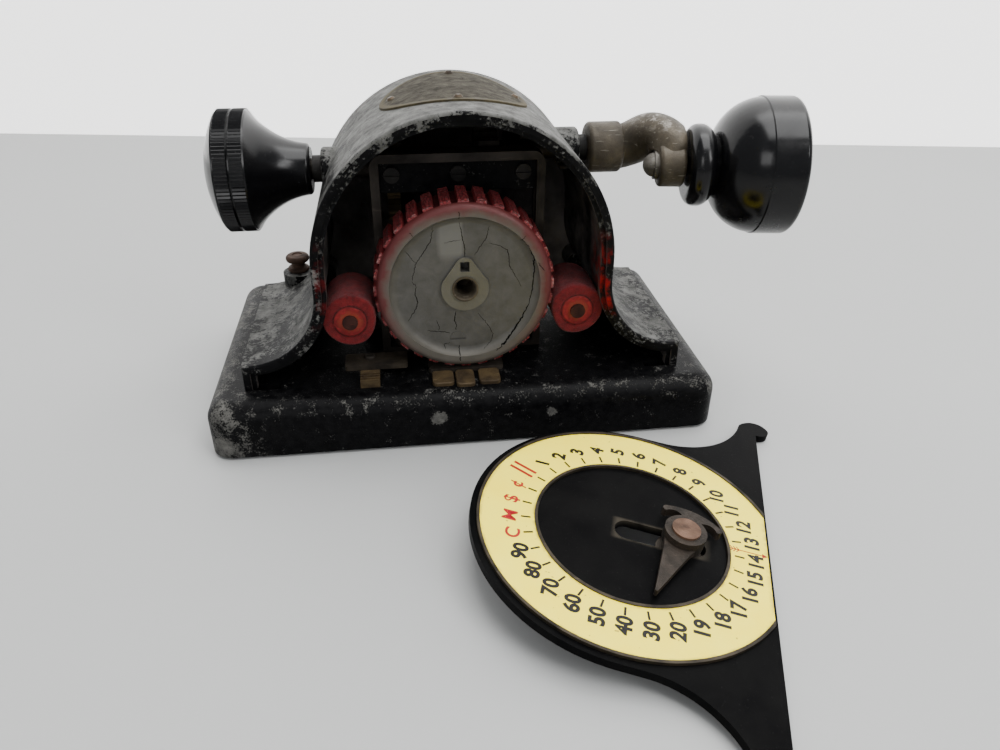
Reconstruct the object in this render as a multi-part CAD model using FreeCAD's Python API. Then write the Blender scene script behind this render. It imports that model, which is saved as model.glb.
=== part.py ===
import FreeCAD, Part
import math
import os

from FreeCAD import Matrix, Vector

os.makedirs("parts", exist_ok=True)

# Driving sizes, in millimetres: +X right and -Y towards the front, with the table at Z = 0
BASE_WIDTH = 200.0
BASE_FRONT = -68.6
BASE_REAR = 50.0
DECK = 22.5
FELT = 1.2
ARCH_RADIUS = 56.0
ARCH_CENTRE = 69.0
FOOT_HALF = 86.0
FOOT_TOP = 33.0
FLARE_RADIUS = 28.0
FLARE_X = ARCH_RADIUS + FLARE_RADIUS
FLARE_Z = FOOT_TOP + FLARE_RADIUS
HOUSING_FRONT = -55.0
HOUSING_REAR = 22.0
WALL = 3.4
WHEEL_CENTRE = 59.2
WHEEL_TIP = 34.3
WHEEL_FRONT = -52.0
WHEEL_REAR = -33.0
TYPE_COUNT = 32
ROLL_X = 43.9
ROLL_Z = 47.5
ROLL_RADIUS = 10.5
ROLL_FRONT = -50.0
ROLL_REAR = -26.0
SHAFT_Y = -8.0
CRANK_Z = 99.5
KNOB_Z = 94.1
SHAFT_RADIUS = 4.0
RUNNING_FIT = 0.05
PINION_TEETH = 16
KNOB_TEETH = 24
IDLER_TEETH = 37
ROLLER_TEETH = 20
IDLER_Y = -0.5
ROLLER_Y = 2.0
HANDLE_Y = -30.0
HANDLE_Z = 97.7
HANDLE_YAW = 7.6
NUT_X = 69.6
NUT_Y = 18.4
NUT_Z = 40.2
DIAL_X = 45.2
DIAL_Y = -136.4
DIAL_TURN = 70.6
DIAL_TILT = 8.65
DIAL_THICK = 2.8
POINTER_V = -16.1

X_AXIS = Vector(1, 0, 0)
Y_AXIS = Vector(0, 1, 0)
Z_AXIS = Vector(0, 0, 1)

# The two gear centre distances follow from the teeth, at one millimetre of module
IDLER_Z = KNOB_Z - math.sqrt(((KNOB_TEETH + IDLER_TEETH) / 2) ** 2 - (IDLER_Y - SHAFT_Y) ** 2)
ROLLER_Z = IDLER_Z - math.sqrt(((IDLER_TEETH + ROLLER_TEETH) / 2) ** 2 - (ROLLER_Y - IDLER_Y) ** 2)


def save(name, *solids):
    """Write one node; several solids are kept apart as a group."""
    shape = solids[0] if len(solids) == 1 else Part.makeCompound(list(solids))
    shape.exportStep("parts/" + name + ".step")


def block(x0, x1, y0, y1, z0, z1):
    return Part.makeBox(x1 - x0, y1 - y0, z1 - z0, Vector(x0, y0, z0))


def rod_x(x0, x1, y, z, radius):
    return Part.makeCylinder(radius, x1 - x0, Vector(x0, y, z), X_AXIS)


def rod_y(y0, y1, x, z, radius):
    return Part.makeCylinder(radius, y1 - y0, Vector(x, y0, z), Y_AXIS)


def rod_z(z0, z1, x, y, radius):
    return Part.makeCylinder(radius, z1 - z0, Vector(x, y, z0), Z_AXIS)


def path(place, start, *steps):
    """Closed wire of lines and arcs: a step is a point, or a point on the arc and the arc's end."""
    edges = []
    here = start
    for step in steps + (start,):
        if isinstance(step[0], tuple):
            through, there = step
            edges.append(Part.Arc(place(*here), place(*through), place(*there)).toShape())
        else:
            there = step
            if math.dist(here, there) > 1e-6:
                edges.append(Part.makeLine(place(*here), place(*there)))
        here = there
    return Part.Wire(edges)


def plan(z):
    return lambda x, y: Vector(x, y, z)


def upright(y):
    return lambda x, z: Vector(x, y, z)


def sideways(x):
    return lambda y, z: Vector(x, y, z)


def turned_x(y, z, start, *steps):
    """Solid turned about a line along X; the profile is given as (x, radius)."""
    wire = path(lambda x, radius: Vector(x, y, z + radius), start, *steps)
    return Part.Face(wire).revolve(Vector(0, y, z), X_AXIS, 360)


def turned_y(x, z, start, *steps):
    """Solid turned about a line along Y; the profile is given as (y, radius)."""
    wire = path(lambda y, radius: Vector(x, y, z + radius), start, *steps)
    return Part.Face(wire).revolve(Vector(x, 0, z), Y_AXIS, 360)


def turned_z(x, y, start, *steps):
    """Solid turned about a vertical line; the profile is given as (z, radius)."""
    wire = path(lambda z, radius: Vector(x + radius, y, z), start, *steps)
    return Part.Face(wire).revolve(Vector(x, y, 0), Z_AXIS, 360)


def dome_point(apex, rim, radius):
    """Point halfway along a dome's profile, for an arc centred on the axis of turning."""
    rise = abs(rim - apex)
    sphere = (radius ** 2 + rise ** 2) / (2 * rise)
    drop = sphere - math.sqrt(sphere ** 2 - radius ** 2 / 4)
    return apex + math.copysign(drop, rim - apex), radius / 2


def rounded_plan(x0, x1, y0, y1, radius, z):
    """Rectangle with round corners, seen from above."""
    k = radius * (1 - math.sqrt(0.5))
    return path(
        plan(z),
        (x0 + radius, y0),
        (x1 - radius, y0),
        ((x1 - k, y0 + k), (x1, y0 + radius)),
        (x1, y1 - radius),
        ((x1 - k, y1 - k), (x1 - radius, y1)),
        (x0 + radius, y1),
        ((x0 + k, y1 - k), (x0, y1 - radius)),
        (x0, y0 + radius),
        ((x0 + k, y0 + k), (x0 + radius, y0)),
    )


def slab(x0, x1, y0, y1, radius, z0, z1):
    return Part.Face(rounded_plan(x0, x1, y0, y1, radius, z0)).extrude(Vector(0, 0, z1 - z0))


def bell(place, inset, floor):
    """Bell outline of the housing: foot, concave flare, straight flank and round arch."""
    arch = ARCH_RADIUS - inset
    flare = FLARE_RADIUS + inset
    foot = FOOT_HALF - inset
    reach = min(foot, FLARE_X)
    toe = FLARE_Z - math.sqrt(flare ** 2 - (FLARE_X - reach) ** 2)
    middle = (FLARE_X - flare * math.cos(0.6), FLARE_Z - flare * math.sin(0.6))
    return path(
        place,
        (-foot, floor),
        (-foot, toe),
        (-reach, toe),
        ((-middle[0], middle[1]), (-arch, FLARE_Z)),
        (-arch, ARCH_CENTRE),
        ((0, ARCH_CENTRE + arch), (arch, ARCH_CENTRE)),
        (arch, FLARE_Z),
        (middle, (reach, toe)),
        (foot, toe),
        (foot, floor),
    )


def bell_prism(inset, floor, y0, y1):
    return Part.Face(bell(upright(y0), inset, floor)).extrude(Vector(0, y1 - y0, 0))


def gear_outline(x, y, z, teeth, first):
    """Spur gear outline of one millimetre module in a plane across X, first tooth at an angle."""
    pitch = 2 * math.pi / teeth
    radius = teeth / 2
    corners = []
    for tooth in range(teeth):
        middle = first + tooth * pitch
        for share, reach in ((-0.36, -1.2), (-0.22, 0.0), (-0.1, 0.9), (0.1, 0.9), (0.22, 0.0), (0.36, -1.2)):
            angle = middle + share * pitch
            corners.append((y + (radius + reach) * math.cos(angle), z + (radius + reach) * math.sin(angle)))
    return Part.Wire(Part.makePolygon([Vector(x, *p) for p in corners + corners[:1]]).Edges)


def spur_gear(x0, x1, y, z, teeth, first, bore):
    gear = Part.Face(gear_outline(x0, y, z, teeth, first)).extrude(Vector(x1 - x0, 0, 0))
    return gear.cut(rod_x(x0 - 1, x1 + 1, y, z, bore))


def meshing_angle(first, teeth, other, towards):
    """First tooth angle of a gear that meshes with another lying in the given direction."""
    lead = (towards - first) * teeth / (2 * math.pi)
    return towards + math.pi - (0.5 - lead) * 2 * math.pi / other


def button_head(x, y, z, radius, height):
    """Round screw head with its slot, upwards from z."""
    head = rod_z(z, z + height, x, y, radius)
    head = head.makeFillet(height * 0.6, [e for e in head.Edges if e.BoundBox.ZMin > z + height - 1e-6])
    return head.cut(block(x - radius, x + radius, y - 0.4, y + 0.4, z + height * 0.5, z + height + 1))


# Cast base: hollow underneath, with the deck's edge well rounded
half = BASE_WIDTH / 2
base = slab(-half, half, BASE_FRONT, BASE_REAR, 9, FELT, DECK)
rim = [e for e in base.Edges if e.BoundBox.ZMin > DECK - 1e-6]
base = base.makeFillet(7.5, rim)
base = base.cut(slab(-half + 6, half - 6, BASE_FRONT + 6, BASE_REAR - 6, 4, FELT - 1, DECK - 8))
for side in (-1, 1):
    base = base.fuse(rod_z(FELT + 2, DECK - 6, side * NUT_X, NUT_Y, 6))
    base = base.cut(rod_z(8, DECK + 1, side * NUT_X, NUT_Y, 2.2))
    base = base.cut(block(side * 78 - 5.5, side * 78 + 5.5, -54.6, -50.4, 16.8, DECK + 1))
base = base.removeSplitter()
save("base_casting", base)

# Felt under the base, glued on as one sheet
save("felt_pad", slab(-half + 1.5, half - 1.5, BASE_FRONT + 1.5, BASE_REAR - 1.5, 7.5, 0, FELT))

# Housing: a thin bell-shaped casting, open at the front, with a stepped lip there
COVER_HALF = 63.0
LUGS = ((35.5, 104.0), (57.5, 41.5))
housing = bell_prism(0, DECK, HOUSING_FRONT, HOUSING_REAR)
front_edge = [e for e in housing.Edges if e.BoundBox.YMax < HOUSING_FRONT + 1e-6]
front_edge = [e for e in front_edge if e.BoundBox.ZMax > DECK + 0.1]
housing = housing.makeFillet(1.1, front_edge)
housing = housing.cut(bell_prism(3.0, DECK - 5, HOUSING_FRONT - 1, HOUSING_FRONT + 1.4))
housing = housing.cut(bell_prism(4.8, DECK - 5, HOUSING_FRONT - 1, HOUSING_FRONT + 5))
housing = housing.cut(bell_prism(WALL, DECK - 5, HOUSING_FRONT + 4.5, HOUSING_REAR + 1))
crown = ARCH_CENTRE + ARCH_RADIUS
housing = housing.fuse(block(-8, 8, HOUSING_FRONT + 4.5, HOUSING_FRONT + 10, crown - 6.2, crown - 2))
inside = bell_prism(1.0, DECK, HOUSING_FRONT + 6, HOUSING_REAR)
toe_wall = bell_prism(1.0, DECK, HOUSING_REAR - 3, HOUSING_REAR)
toe_wall = toe_wall.cut(block(-COVER_HALF - 0.5, COVER_HALF + 0.5, 0, 30, 0, 140))
housing = housing.fuse(toe_wall)
for side in (-1, 1):
    for lug_x, lug_z in LUGS:
        housing = housing.fuse(rod_y(HOUSING_REAR - 12, HOUSING_REAR, side * lug_x, lug_z, 5).common(inside))
    housing = housing.fuse(rod_z(DECK, NUT_Z, side * NUT_X, NUT_Y, 7))
hollow = bell_prism(7.5, DECK, -40, 20)
BUSH_RADIUS = 5.2
for outer, inner, height in ((-51.8, -40.0, KNOB_Z), (49.6, 40.0, CRANK_Z)):
    boss = rod_x(min(outer, inner), max(outer, inner), SHAFT_Y, height, 8.2)
    rim = [e for e in boss.Edges if e.BoundBox.XLength < 1e-4 and abs(e.BoundBox.XMin - outer) < 1e-4]
    boss = boss.makeFillet(1.4, rim)
    housing = housing.fuse(boss.cut(hollow))
    housing = housing.cut(rod_x(min(outer, inner) - 9, max(outer, inner) + 9, SHAFT_Y, height, BUSH_RADIUS))
for side in (-1, 1):
    housing = housing.cut(rod_z(NUT_Z, NUT_Z + 20, side * NUT_X, NUT_Y, 6.3))
    housing = housing.cut(rod_z(DECK - 1, NUT_Z + 5, side * NUT_X, NUT_Y, 2.6))
    for lug_x, lug_z in LUGS:
        housing = housing.cut(rod_y(HOUSING_REAR - 8, HOUSING_REAR + 1, side * lug_x, lug_z, 1.5))
housing = housing.removeSplitter()
save("housing_shell", housing)

# Rear cover: a sheet of the same bell outline with the paper slot left open at the deck
cover = bell_prism(0.8, DECK + 0.3, HOUSING_REAR, HOUSING_REAR + 2)
cover = cover.common(block(-COVER_HALF, COVER_HALF, 0, 50, 0, 140))
cover = cover.cut(block(-54, 54, HOUSING_REAR - 1, HOUSING_REAR + 5, DECK - 1, DECK + 9))
cover_screws = []
for side in (-1, 1):
    for lug_x, lug_z in LUGS:
        cover = cover.cut(rod_y(HOUSING_REAR - 1, HOUSING_REAR + 5, side * lug_x, lug_z, 1.7))
        shank = rod_y(HOUSING_REAR - 7.5, HOUSING_REAR + 2, side * lug_x, lug_z, 1.5)
        head = rod_y(HOUSING_REAR + 2, HOUSING_REAR + 3.6, side * lug_x, lug_z, 3.2)
        screw_x = side * lug_x
        slot = block(screw_x - 4, screw_x + 4, HOUSING_REAR + 2.9, HOUSING_REAR + 4, lug_z - 0.4, lug_z + 0.4)
        cover_screws.append(shank.fuse(head.cut(slot)).removeSplitter())
save("rear_cover", cover)
save("rear_cover_screws", *cover_screws)

# Name plate: a bare oval of sheet brass bent round the top of the arch, on four pins
PLATE_MIDDLE = -12.5
oval = Part.Ellipse(Vector(0, PLATE_MIDDLE, 0), 28.0, 26.5).toShape()
oval = Part.Face(Part.Wire([oval])).extrude(Vector(0, 0, 140))
sheet = rod_y(-60, 60, 0, ARCH_CENTRE, ARCH_RADIUS + 0.7).cut(rod_y(-61, 61, 0, ARCH_CENTRE, ARCH_RADIUS))
sheet = sheet.cut(block(-80, 80, -80, 80, -10, ARCH_CENTRE + 10))
pins = []
for lean, shift in ((0, -22.5), (0, 22.5), (-24.5, 0), (24.5, 0)):
    pin_y = PLATE_MIDDLE + shift
    outwards = Vector(math.sin(math.radians(lean)), 0, math.cos(math.radians(lean)))
    foot = Vector(0, pin_y, ARCH_CENTRE) + outwards * (ARCH_RADIUS + 0.75)
    pins.append(Part.makeCone(1.7, 1.0, 0.8, foot, outwards))
save("name_plate", sheet.common(oval))
save("name_plate_pins", *pins)

# Studs in the base, and the thumb nuts that hold the housing's feet down on them
save("foot_studs", *[rod_z(9, NUT_Z + 7.6, side * NUT_X, NUT_Y, 2.2) for side in (-1, 1)])
for side, label in ((-1, "left"), (1, "right")):
    nut = turned_z(
        side * NUT_X,
        NUT_Y,
        (NUT_Z + 0.3, 2.25),
        (NUT_Z + 0.3, 4.2),
        ((NUT_Z + 1.3, 4.8), (NUT_Z + 2.4, 4.0)),
        ((NUT_Z + 3.6, 3.0), (NUT_Z + 4.8, 4.2)),
        ((NUT_Z + 6.3, 5.2), (NUT_Z + 7.8, 4.3)),
        (NUT_Z + 8.0, 2.25),
    )
    save("thumb_nut_" + label, nut)

# Guide yoke: a bent steel strip standing on the deck behind the type wheel
YOKE_HALF = 33.0
YOKE_THICK = 3.3
YOKE_TOP = 104.9
YOKE_FRONT = -31.0
YOKE_REAR = -22.0
outer = path(
    upright(YOKE_FRONT),
    (-YOKE_HALF, DECK),
    (-YOKE_HALF, YOKE_TOP - 5),
    ((-YOKE_HALF + 1.46, YOKE_TOP - 1.46), (-YOKE_HALF + 5, YOKE_TOP)),
    (YOKE_HALF - 5, YOKE_TOP),
    ((YOKE_HALF - 1.46, YOKE_TOP - 1.46), (YOKE_HALF, YOKE_TOP - 5)),
    (YOKE_HALF, DECK),
)
yoke = Part.Face(outer).extrude(Vector(0, YOKE_REAR - YOKE_FRONT, 0))
gap = YOKE_HALF - YOKE_THICK
yoke = yoke.cut(block(-gap, gap, -40, 0, DECK - 1, YOKE_TOP - YOKE_THICK))
yoke_screws = []
for side in (-1, 1):
    inner = min(side * gap, side * (gap - 9))
    yoke = yoke.fuse(block(inner, inner + 9, YOKE_FRONT, YOKE_REAR, DECK, DECK + 2.4))
    groove = side * (gap + 0.5)
    yoke = yoke.cut(block(groove - 1.2, groove + 1.2, -28, -25, 32, 95))
    screw_x = side * (gap - 5)
    yoke = yoke.cut(rod_z(DECK - 1, DECK + 5, screw_x, -26.5, 1.7))
    shank = rod_z(DECK, DECK + 2.4, screw_x, -26.5, 1.6)
    yoke_screws.append(shank.fuse(button_head(screw_x, -26.5, DECK + 2.4, 2.8, 1.6)))
yoke = yoke.removeSplitter()
save("guide_yoke", yoke)
save("guide_yoke_screws", *yoke_screws)

# Bearing plate inside the top of the yoke, with a lug for the inner end of each shaft
PLATE_REAR = -23.5
bearing = block(-gap, gap, -27, PLATE_REAR, 89.5, YOKE_TOP - YOKE_THICK)
plate_screws = []
for lug_x, lug_z in ((-17.0, KNOB_Z), (23.0, CRANK_Z)):
    bearing = bearing.fuse(rod_x(lug_x - 3, lug_x + 3, SHAFT_Y, lug_z, 7))
    lug_top = min(lug_z + 6, YOKE_TOP - YOKE_THICK)
    bearing = bearing.fuse(block(lug_x - 3, lug_x + 3, -25, SHAFT_Y, 90.5, lug_top))
    bearing = bearing.cut(rod_x(lug_x - 4, lug_x + 4, SHAFT_Y, lug_z, SHAFT_RADIUS + RUNNING_FIT))
for screw_x in (-25.0, 0.0, 25.0):
    bearing = bearing.cut(rod_y(-28, -20, screw_x, 96.5, 1.7))
    head = rod_y(-28.8, -27, screw_x, 96.5, 3.0)
    head = head.cut(block(screw_x - 4, screw_x + 4, -29, -28.2, 96.1, 96.9))
    plate_screws.append(head.fuse(rod_y(-27, PLATE_REAR, screw_x, 96.5, 1.6)))
save("bearing_plate", bearing.removeSplitter())
save("bearing_plate_screws", *plate_screws)

# Bushes in the housing's two bosses
bushes = []
for x0, x1, z in ((-55.3, -45.0, KNOB_Z), (42.0, 53.0, CRANK_Z)):
    bore = rod_x(x0 - 1, x1 + 1, SHAFT_Y, z, SHAFT_RADIUS + RUNNING_FIT)
    bushes.append(rod_x(x0, x1, SHAFT_Y, z, BUSH_RADIUS).cut(bore))
save("shaft_bushes", *bushes)

# Carriage: a block that slides up and down between the yoke's legs on two tongues
CARRIAGE_REAR = -21.5
carriage = block(-gap + 0.3, gap - 0.3, -30, CARRIAGE_REAR, 44, 77)
for side in (-1, 1):
    tongue = side * (gap + 0.2)
    carriage = carriage.fuse(block(tongue - 1.0, tongue + 1.0, -27.7, -25.3, 44, 77))
    carriage = carriage.cut(block(side * 20 - 5, side * 20 + 5, -31, -21, 49, 72))
carriage = carriage.cut(rod_y(-31, -20, 0, WHEEL_CENTRE, 6.0))
save("carriage_block", carriage.removeSplitter())
arbor_bush = rod_y(-31.6, -20.5, 0, WHEEL_CENTRE, 6.0).cut(rod_y(-33, -19, 0, WHEEL_CENTRE, 4.05))
save("arbor_bush", arbor_bush)

# Rack on the back of the carriage; one gap faces the crank shaft
PITCH_LINE = SHAFT_Y - PINION_TEETH / 2
rack_points = [(CARRIAGE_REAR, 62.0), (PITCH_LINE - 1.2, 62.0)]
for tooth in range(-5, 2):
    middle = CRANK_Z + (tooth + 0.5) * math.pi
    for share, reach in ((-0.36, -1.2), (-0.22, 0.0), (-0.1, 0.9), (0.1, 0.9), (0.22, 0.0), (0.36, -1.2)):
        rack_points.append((PITCH_LINE + reach, middle + share * math.pi))
rack_points += [(PITCH_LINE - 1.2, 106.5), (CARRIAGE_REAR, 106.5)]
RACK_X = 8.5
rack_wire = Part.makePolygon([Vector(RACK_X, *p) for p in rack_points + rack_points[:1]])
rack = Part.Face(rack_wire).extrude(Vector(8, 0, 0))
rack_screws = []
for screw_z in (65.5, 73.5):
    rack = rack.cut(rod_y(-25, 0, RACK_X + 4, screw_z, 1.6))
    shank = rod_y(CARRIAGE_REAR, PITCH_LINE - 1.2, RACK_X + 4, screw_z, 1.5)
    head = rod_y(PITCH_LINE - 1.2, PITCH_LINE, RACK_X + 4, screw_z, 2.6)
    slot = block(RACK_X, RACK_X + 8, PITCH_LINE - 0.6, 0, screw_z - 0.3, screw_z + 0.3)
    rack_screws.append(shank.fuse(head.cut(slot)))
save("carriage_rack", rack)
save("carriage_rack_screws", *rack_screws)

# Type wheel: die-cast core with a sunk face, and a pear-shaped hub round the drive hole
RIM = 31.0
LIP = 33.2
LIP_REAR = WHEEL_FRONT + 2.6
core = turned_y(
    0,
    WHEEL_CENTRE,
    (WHEEL_FRONT + 2.4, 5.0),
    (WHEEL_FRONT + 2.4, 25.4),
    ((WHEEL_FRONT + 1.7, 27.3), (WHEEL_FRONT, 28.6)),
    (WHEEL_FRONT, 30.4),
    ((WHEEL_FRONT + 0.6, 32.3), (WHEEL_FRONT + 2.0, LIP)),
    (LIP_REAR, LIP),
    (LIP_REAR, RIM),
    (WHEEL_REAR, RIM),
    (WHEEL_REAR, 5.0),
)
pear_tip = WHEEL_CENTRE + 8.8
pear = path(
    upright(WHEEL_FRONT + 1.1),
    (-8.5, WHEEL_CENTRE + 3),
    ((0, WHEEL_CENTRE - 9), (8.5, WHEEL_CENTRE + 3)),
    (3.6, pear_tip + 1.2),
    ((0, pear_tip + 3.6), (-3.6, pear_tip + 1.2)),
)
hub = Part.Face(pear).extrude(Vector(0, 3, 0)).cut(rod_y(-60, -30, 0, WHEEL_CENTRE, 5.0))
core = core.fuse(hub)
core = core.cut(block(-1.7, 1.7, -60, WHEEL_FRONT + 6, pear_tip - 2.0, pear_tip + 2.0))
core = core.cut(rod_y(-60, WHEEL_FRONT + 5, -3, WHEEL_CENTRE - 21.5, 3.0))
save("wheel_core", core.removeSplitter())
plug = rod_y(WHEEL_FRONT + 2.0, WHEEL_FRONT + 5, -3, WHEEL_CENTRE - 21.5, 3.0)
save("wheel_plug", plug.cut(block(-7, 1, -60, WHEEL_FRONT + 2.6, WHEEL_CENTRE - 21.9, WHEEL_CENTRE - 21.1)))

# Type band: one rubber ring moulded with the type bars standing on it
band_points = []
for bar in range(TYPE_COUNT):
    middle = math.pi / 2 + bar * 2 * math.pi / TYPE_COUNT
    for turn, radius in ((-0.066, 32.2), (-0.054, WHEEL_TIP), (0.054, WHEEL_TIP), (0.066, 32.2)):
        across = radius * math.cos(middle + turn)
        height = WHEEL_CENTRE + radius * math.sin(middle + turn)
        band_points.append(Vector(across, LIP_REAR, height))
band = Part.Face(Part.makePolygon(band_points + band_points[:1]))
band = band.extrude(Vector(0, WHEEL_REAR - 0.2 - LIP_REAR, 0))
save("type_band", band.cut(rod_y(-60, -20, 0, WHEEL_CENTRE, RIM)))

# Arbor: hollow at the front for the dial's stud, with a collar behind the carriage
arbor = turned_y(
    0,
    WHEEL_CENTRE,
    (WHEEL_FRONT + 3.0, 3.3),
    (WHEEL_FRONT + 0.9, 4.1),
    (WHEEL_FRONT + 0.5, 4.5),
    (WHEEL_FRONT + 0.5, 5.0),
    (WHEEL_REAR, 5.0),
    (WHEEL_REAR, 4.0),
    (-20.2, 4.0),
    (-20.2, 0.0),
    (WHEEL_FRONT + 12, 0.0),
    (WHEEL_FRONT + 12, 3.3),
)
save("wheel_arbor", arbor)
collar = rod_y(-20.2, -17.4, 0, WHEEL_CENTRE, 5.4).fuse(rod_y(-17.4, -16.4, 0, WHEEL_CENTRE, 2.2))
save("arbor_collar", collar)

# Ink rolls: felt sleeves on wooden cores, each on a pin held by an arm on the yoke's leg
ink_arms = []
ink_pins = []
for side, label in ((-1, "left"), (1, "right")):
    x = side * ROLL_X
    felt = rod_y(ROLL_FRONT, ROLL_REAR, x, ROLL_Z, ROLL_RADIUS)
    felt = felt.cut(rod_y(ROLL_FRONT - 1, ROLL_REAR + 1, x, ROLL_Z, 6.5))
    roll_core = rod_y(ROLL_FRONT - 0.2, ROLL_REAR + 0.2, x, ROLL_Z, 6.5)
    roll_core = roll_core.cut(rod_y(ROLL_FRONT - 1, ROLL_REAR + 1, x, ROLL_Z, 1.9))
    save("ink_felt_" + label, felt)
    save("ink_core_" + label, roll_core)
    arm = path(
        upright(ROLL_REAR + 0.7),
        (side * YOKE_HALF, ROLL_Z - 6),
        (x, ROLL_Z - 6),
        ((x + side * 6, ROLL_Z), (x, ROLL_Z + 6)),
        (side * YOKE_HALF, ROLL_Z + 6),
    )
    arm = Part.Face(arm).extrude(Vector(0, 3, 0)).cut(rod_y(-40, -20, x, ROLL_Z, 1.85))
    ink_arms.append(arm)
    pin = rod_y(ROLL_FRONT - 0.6, ROLL_REAR + 4.1, x, ROLL_Z, 1.85)
    pin = pin.fuse(rod_y(ROLL_FRONT - 1.6, ROLL_FRONT - 0.6, x, ROLL_Z, 2.9))
    ink_pins.append(pin)
save("ink_arms", *ink_arms)
save("ink_pins", *ink_pins)

# Platen under the type wheel, and the brass fingers that lie on the deck in front of it
save("platen_block", slab(-15, 15, -50, -34, 1.5, DECK, DECK + 1.9))
fingers = []
for x0, x1, front in ((-14, -5.5, -60.4), (-4.8, 2.6, -61.8), (4.3, 12.7, -60.8)):
    finger = slab(x0, x1, front, -50.6, 1.8, DECK, DECK + 1.6)
    top_edge = [e for e in finger.Edges if e.BoundBox.ZMin > DECK + 1.6 - 1e-6]
    fingers.append(finger.makeFillet(0.5, top_edge))
save("platen_fingers", *fingers)

# Side guide at the left: a ridged brass tongue with a flat steel plate on top
tongue = block(-41.8, -34.3, -58, -40, DECK, DECK + 3.4)
for ridge in (-57.2, -55.4, -53.6):
    tongue = tongue.cut(block(-43, -33, ridge, ridge + 0.8, DECK + 2.6, DECK + 5))
save("guide_tongue", tongue)
save("guide_plate", slab(-47.7, -23.2, -50.2, -40, 1.2, DECK + 3.4, DECK + 5.4))
save("guide_screw", button_head(-38, -43.5, DECK + 5.4, 2.2, 1.2))

# Gear side plate: carries the idler and the left end of the feed roller
SIDE_X0 = -33.5
SIDE_X1 = -29.5
side_plate = path(
    sideways(SIDE_X0),
    (-9, DECK),
    (-9, IDLER_Z),
    ((IDLER_Y, IDLER_Z + 8.5), (8, IDLER_Z)),
    (12, DECK + 20),
    (12, DECK),
)
side_plate = Part.Face(side_plate).extrude(Vector(SIDE_X1 - SIDE_X0, 0, 0))
side_plate = side_plate.fuse(block(SIDE_X0 - 8, SIDE_X0, -9, 12, DECK, DECK + 2.4))
side_plate = side_plate.cut(rod_x(-40, -20, IDLER_Y, IDLER_Z, 3.0))
side_plate = side_plate.cut(rod_x(-40, -20, ROLLER_Y, ROLLER_Z, 3.05))
ROLLER_RADIUS = ROLLER_Z - DECK - 0.4
bracket = path(
    sideways(22.5),
    (ROLLER_Y - 7, DECK),
    (ROLLER_Y - 7, ROLLER_Z),
    ((ROLLER_Y, ROLLER_Z + 7), (ROLLER_Y + 7, ROLLER_Z)),
    (ROLLER_Y + 7, DECK),
)
bracket = Part.Face(bracket).extrude(Vector(4, 0, 0))
bracket = bracket.fuse(block(26.5, 34.5, ROLLER_Y - 7, ROLLER_Y + 7, DECK, DECK + 2.4))
bracket = bracket.cut(rod_x(20, 30, ROLLER_Y, ROLLER_Z, 3.05))
bracket_screws = []
for screw_x, screw_y in ((-37.5, -4.5), (-37.5, 7.5), (30.5, -1.5), (30.5, 5.5)):
    hole = rod_z(DECK - 1, DECK + 5, screw_x, screw_y, 1.6)
    side_plate = side_plate.cut(hole)
    bracket = bracket.cut(hole)
    shank = rod_z(DECK, DECK + 2.4, screw_x, screw_y, 1.5)
    bracket_screws.append(shank.fuse(button_head(screw_x, screw_y, DECK + 2.4, 2.6, 1.5)))
save("gear_side_plate", side_plate.removeSplitter())
save("roller_bracket", bracket.removeSplitter())
save("bracket_screws", *bracket_screws)
idler_stud = rod_x(SIDE_X0, -20.6, IDLER_Y, IDLER_Z, 3.0).fuse(rod_x(-20.6, -19.4, IDLER_Y, IDLER_Z, 4.6))
save("idler_stud", idler_stud.removeSplitter())

# Feed train: knob gear, idler and roller gear, all in one plane
GEAR_X0 = -27.0
GEAR_X1 = -22.0
knob_to_idler = math.atan2(IDLER_Z - KNOB_Z, IDLER_Y - SHAFT_Y)
idler_to_roller = math.atan2(ROLLER_Z - IDLER_Z, ROLLER_Y - IDLER_Y)
knob_first = knob_to_idler
idler_first = meshing_angle(knob_first, KNOB_TEETH, IDLER_TEETH, knob_to_idler)
roller_first = meshing_angle(idler_first, IDLER_TEETH, ROLLER_TEETH, idler_to_roller)
save("knob_gear", spur_gear(GEAR_X0, GEAR_X1, SHAFT_Y, KNOB_Z, KNOB_TEETH, knob_first, SHAFT_RADIUS))
idler = spur_gear(GEAR_X0, GEAR_X1, IDLER_Y, IDLER_Z, IDLER_TEETH, idler_first, 3.05)
for spoke in range(5):
    angle = spoke * 2 * math.pi / 5
    hole_y = IDLER_Y + 10.5 * math.cos(angle)
    hole_z = IDLER_Z + 10.5 * math.sin(angle)
    idler = idler.cut(rod_x(-30, -20, hole_y, hole_z, 3.6))
save("idler_gear", idler)
save("roller_gear", spur_gear(GEAR_X0, GEAR_X1, ROLLER_Y, ROLLER_Z, ROLLER_TEETH, roller_first, 3.0))
roller_shaft = rod_x(-34.5, 27.5, ROLLER_Y, ROLLER_Z, 3.0)
save("roller_shaft", roller_shaft)
roller = rod_x(-20, 20, ROLLER_Y, ROLLER_Z, ROLLER_RADIUS).cut(rod_x(-21, 21, ROLLER_Y, ROLLER_Z, 3.0))
save("roller_rubber", roller)

# Feed knob at the left: dished body, two milled bands, domed cap and its shaft
def milled_band(x0, x1, y, z, radius, count):
    corners = []
    for step in range(2 * count):
        reach = radius if step % 2 else radius - 0.4
        angle = math.pi * step / count
        corners.append(Vector(x0, y + reach * math.cos(angle), z + reach * math.sin(angle)))
    return Part.Face(Part.makePolygon(corners + corners[:1])).extrude(Vector(x1 - x0, 0, 0))


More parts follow.
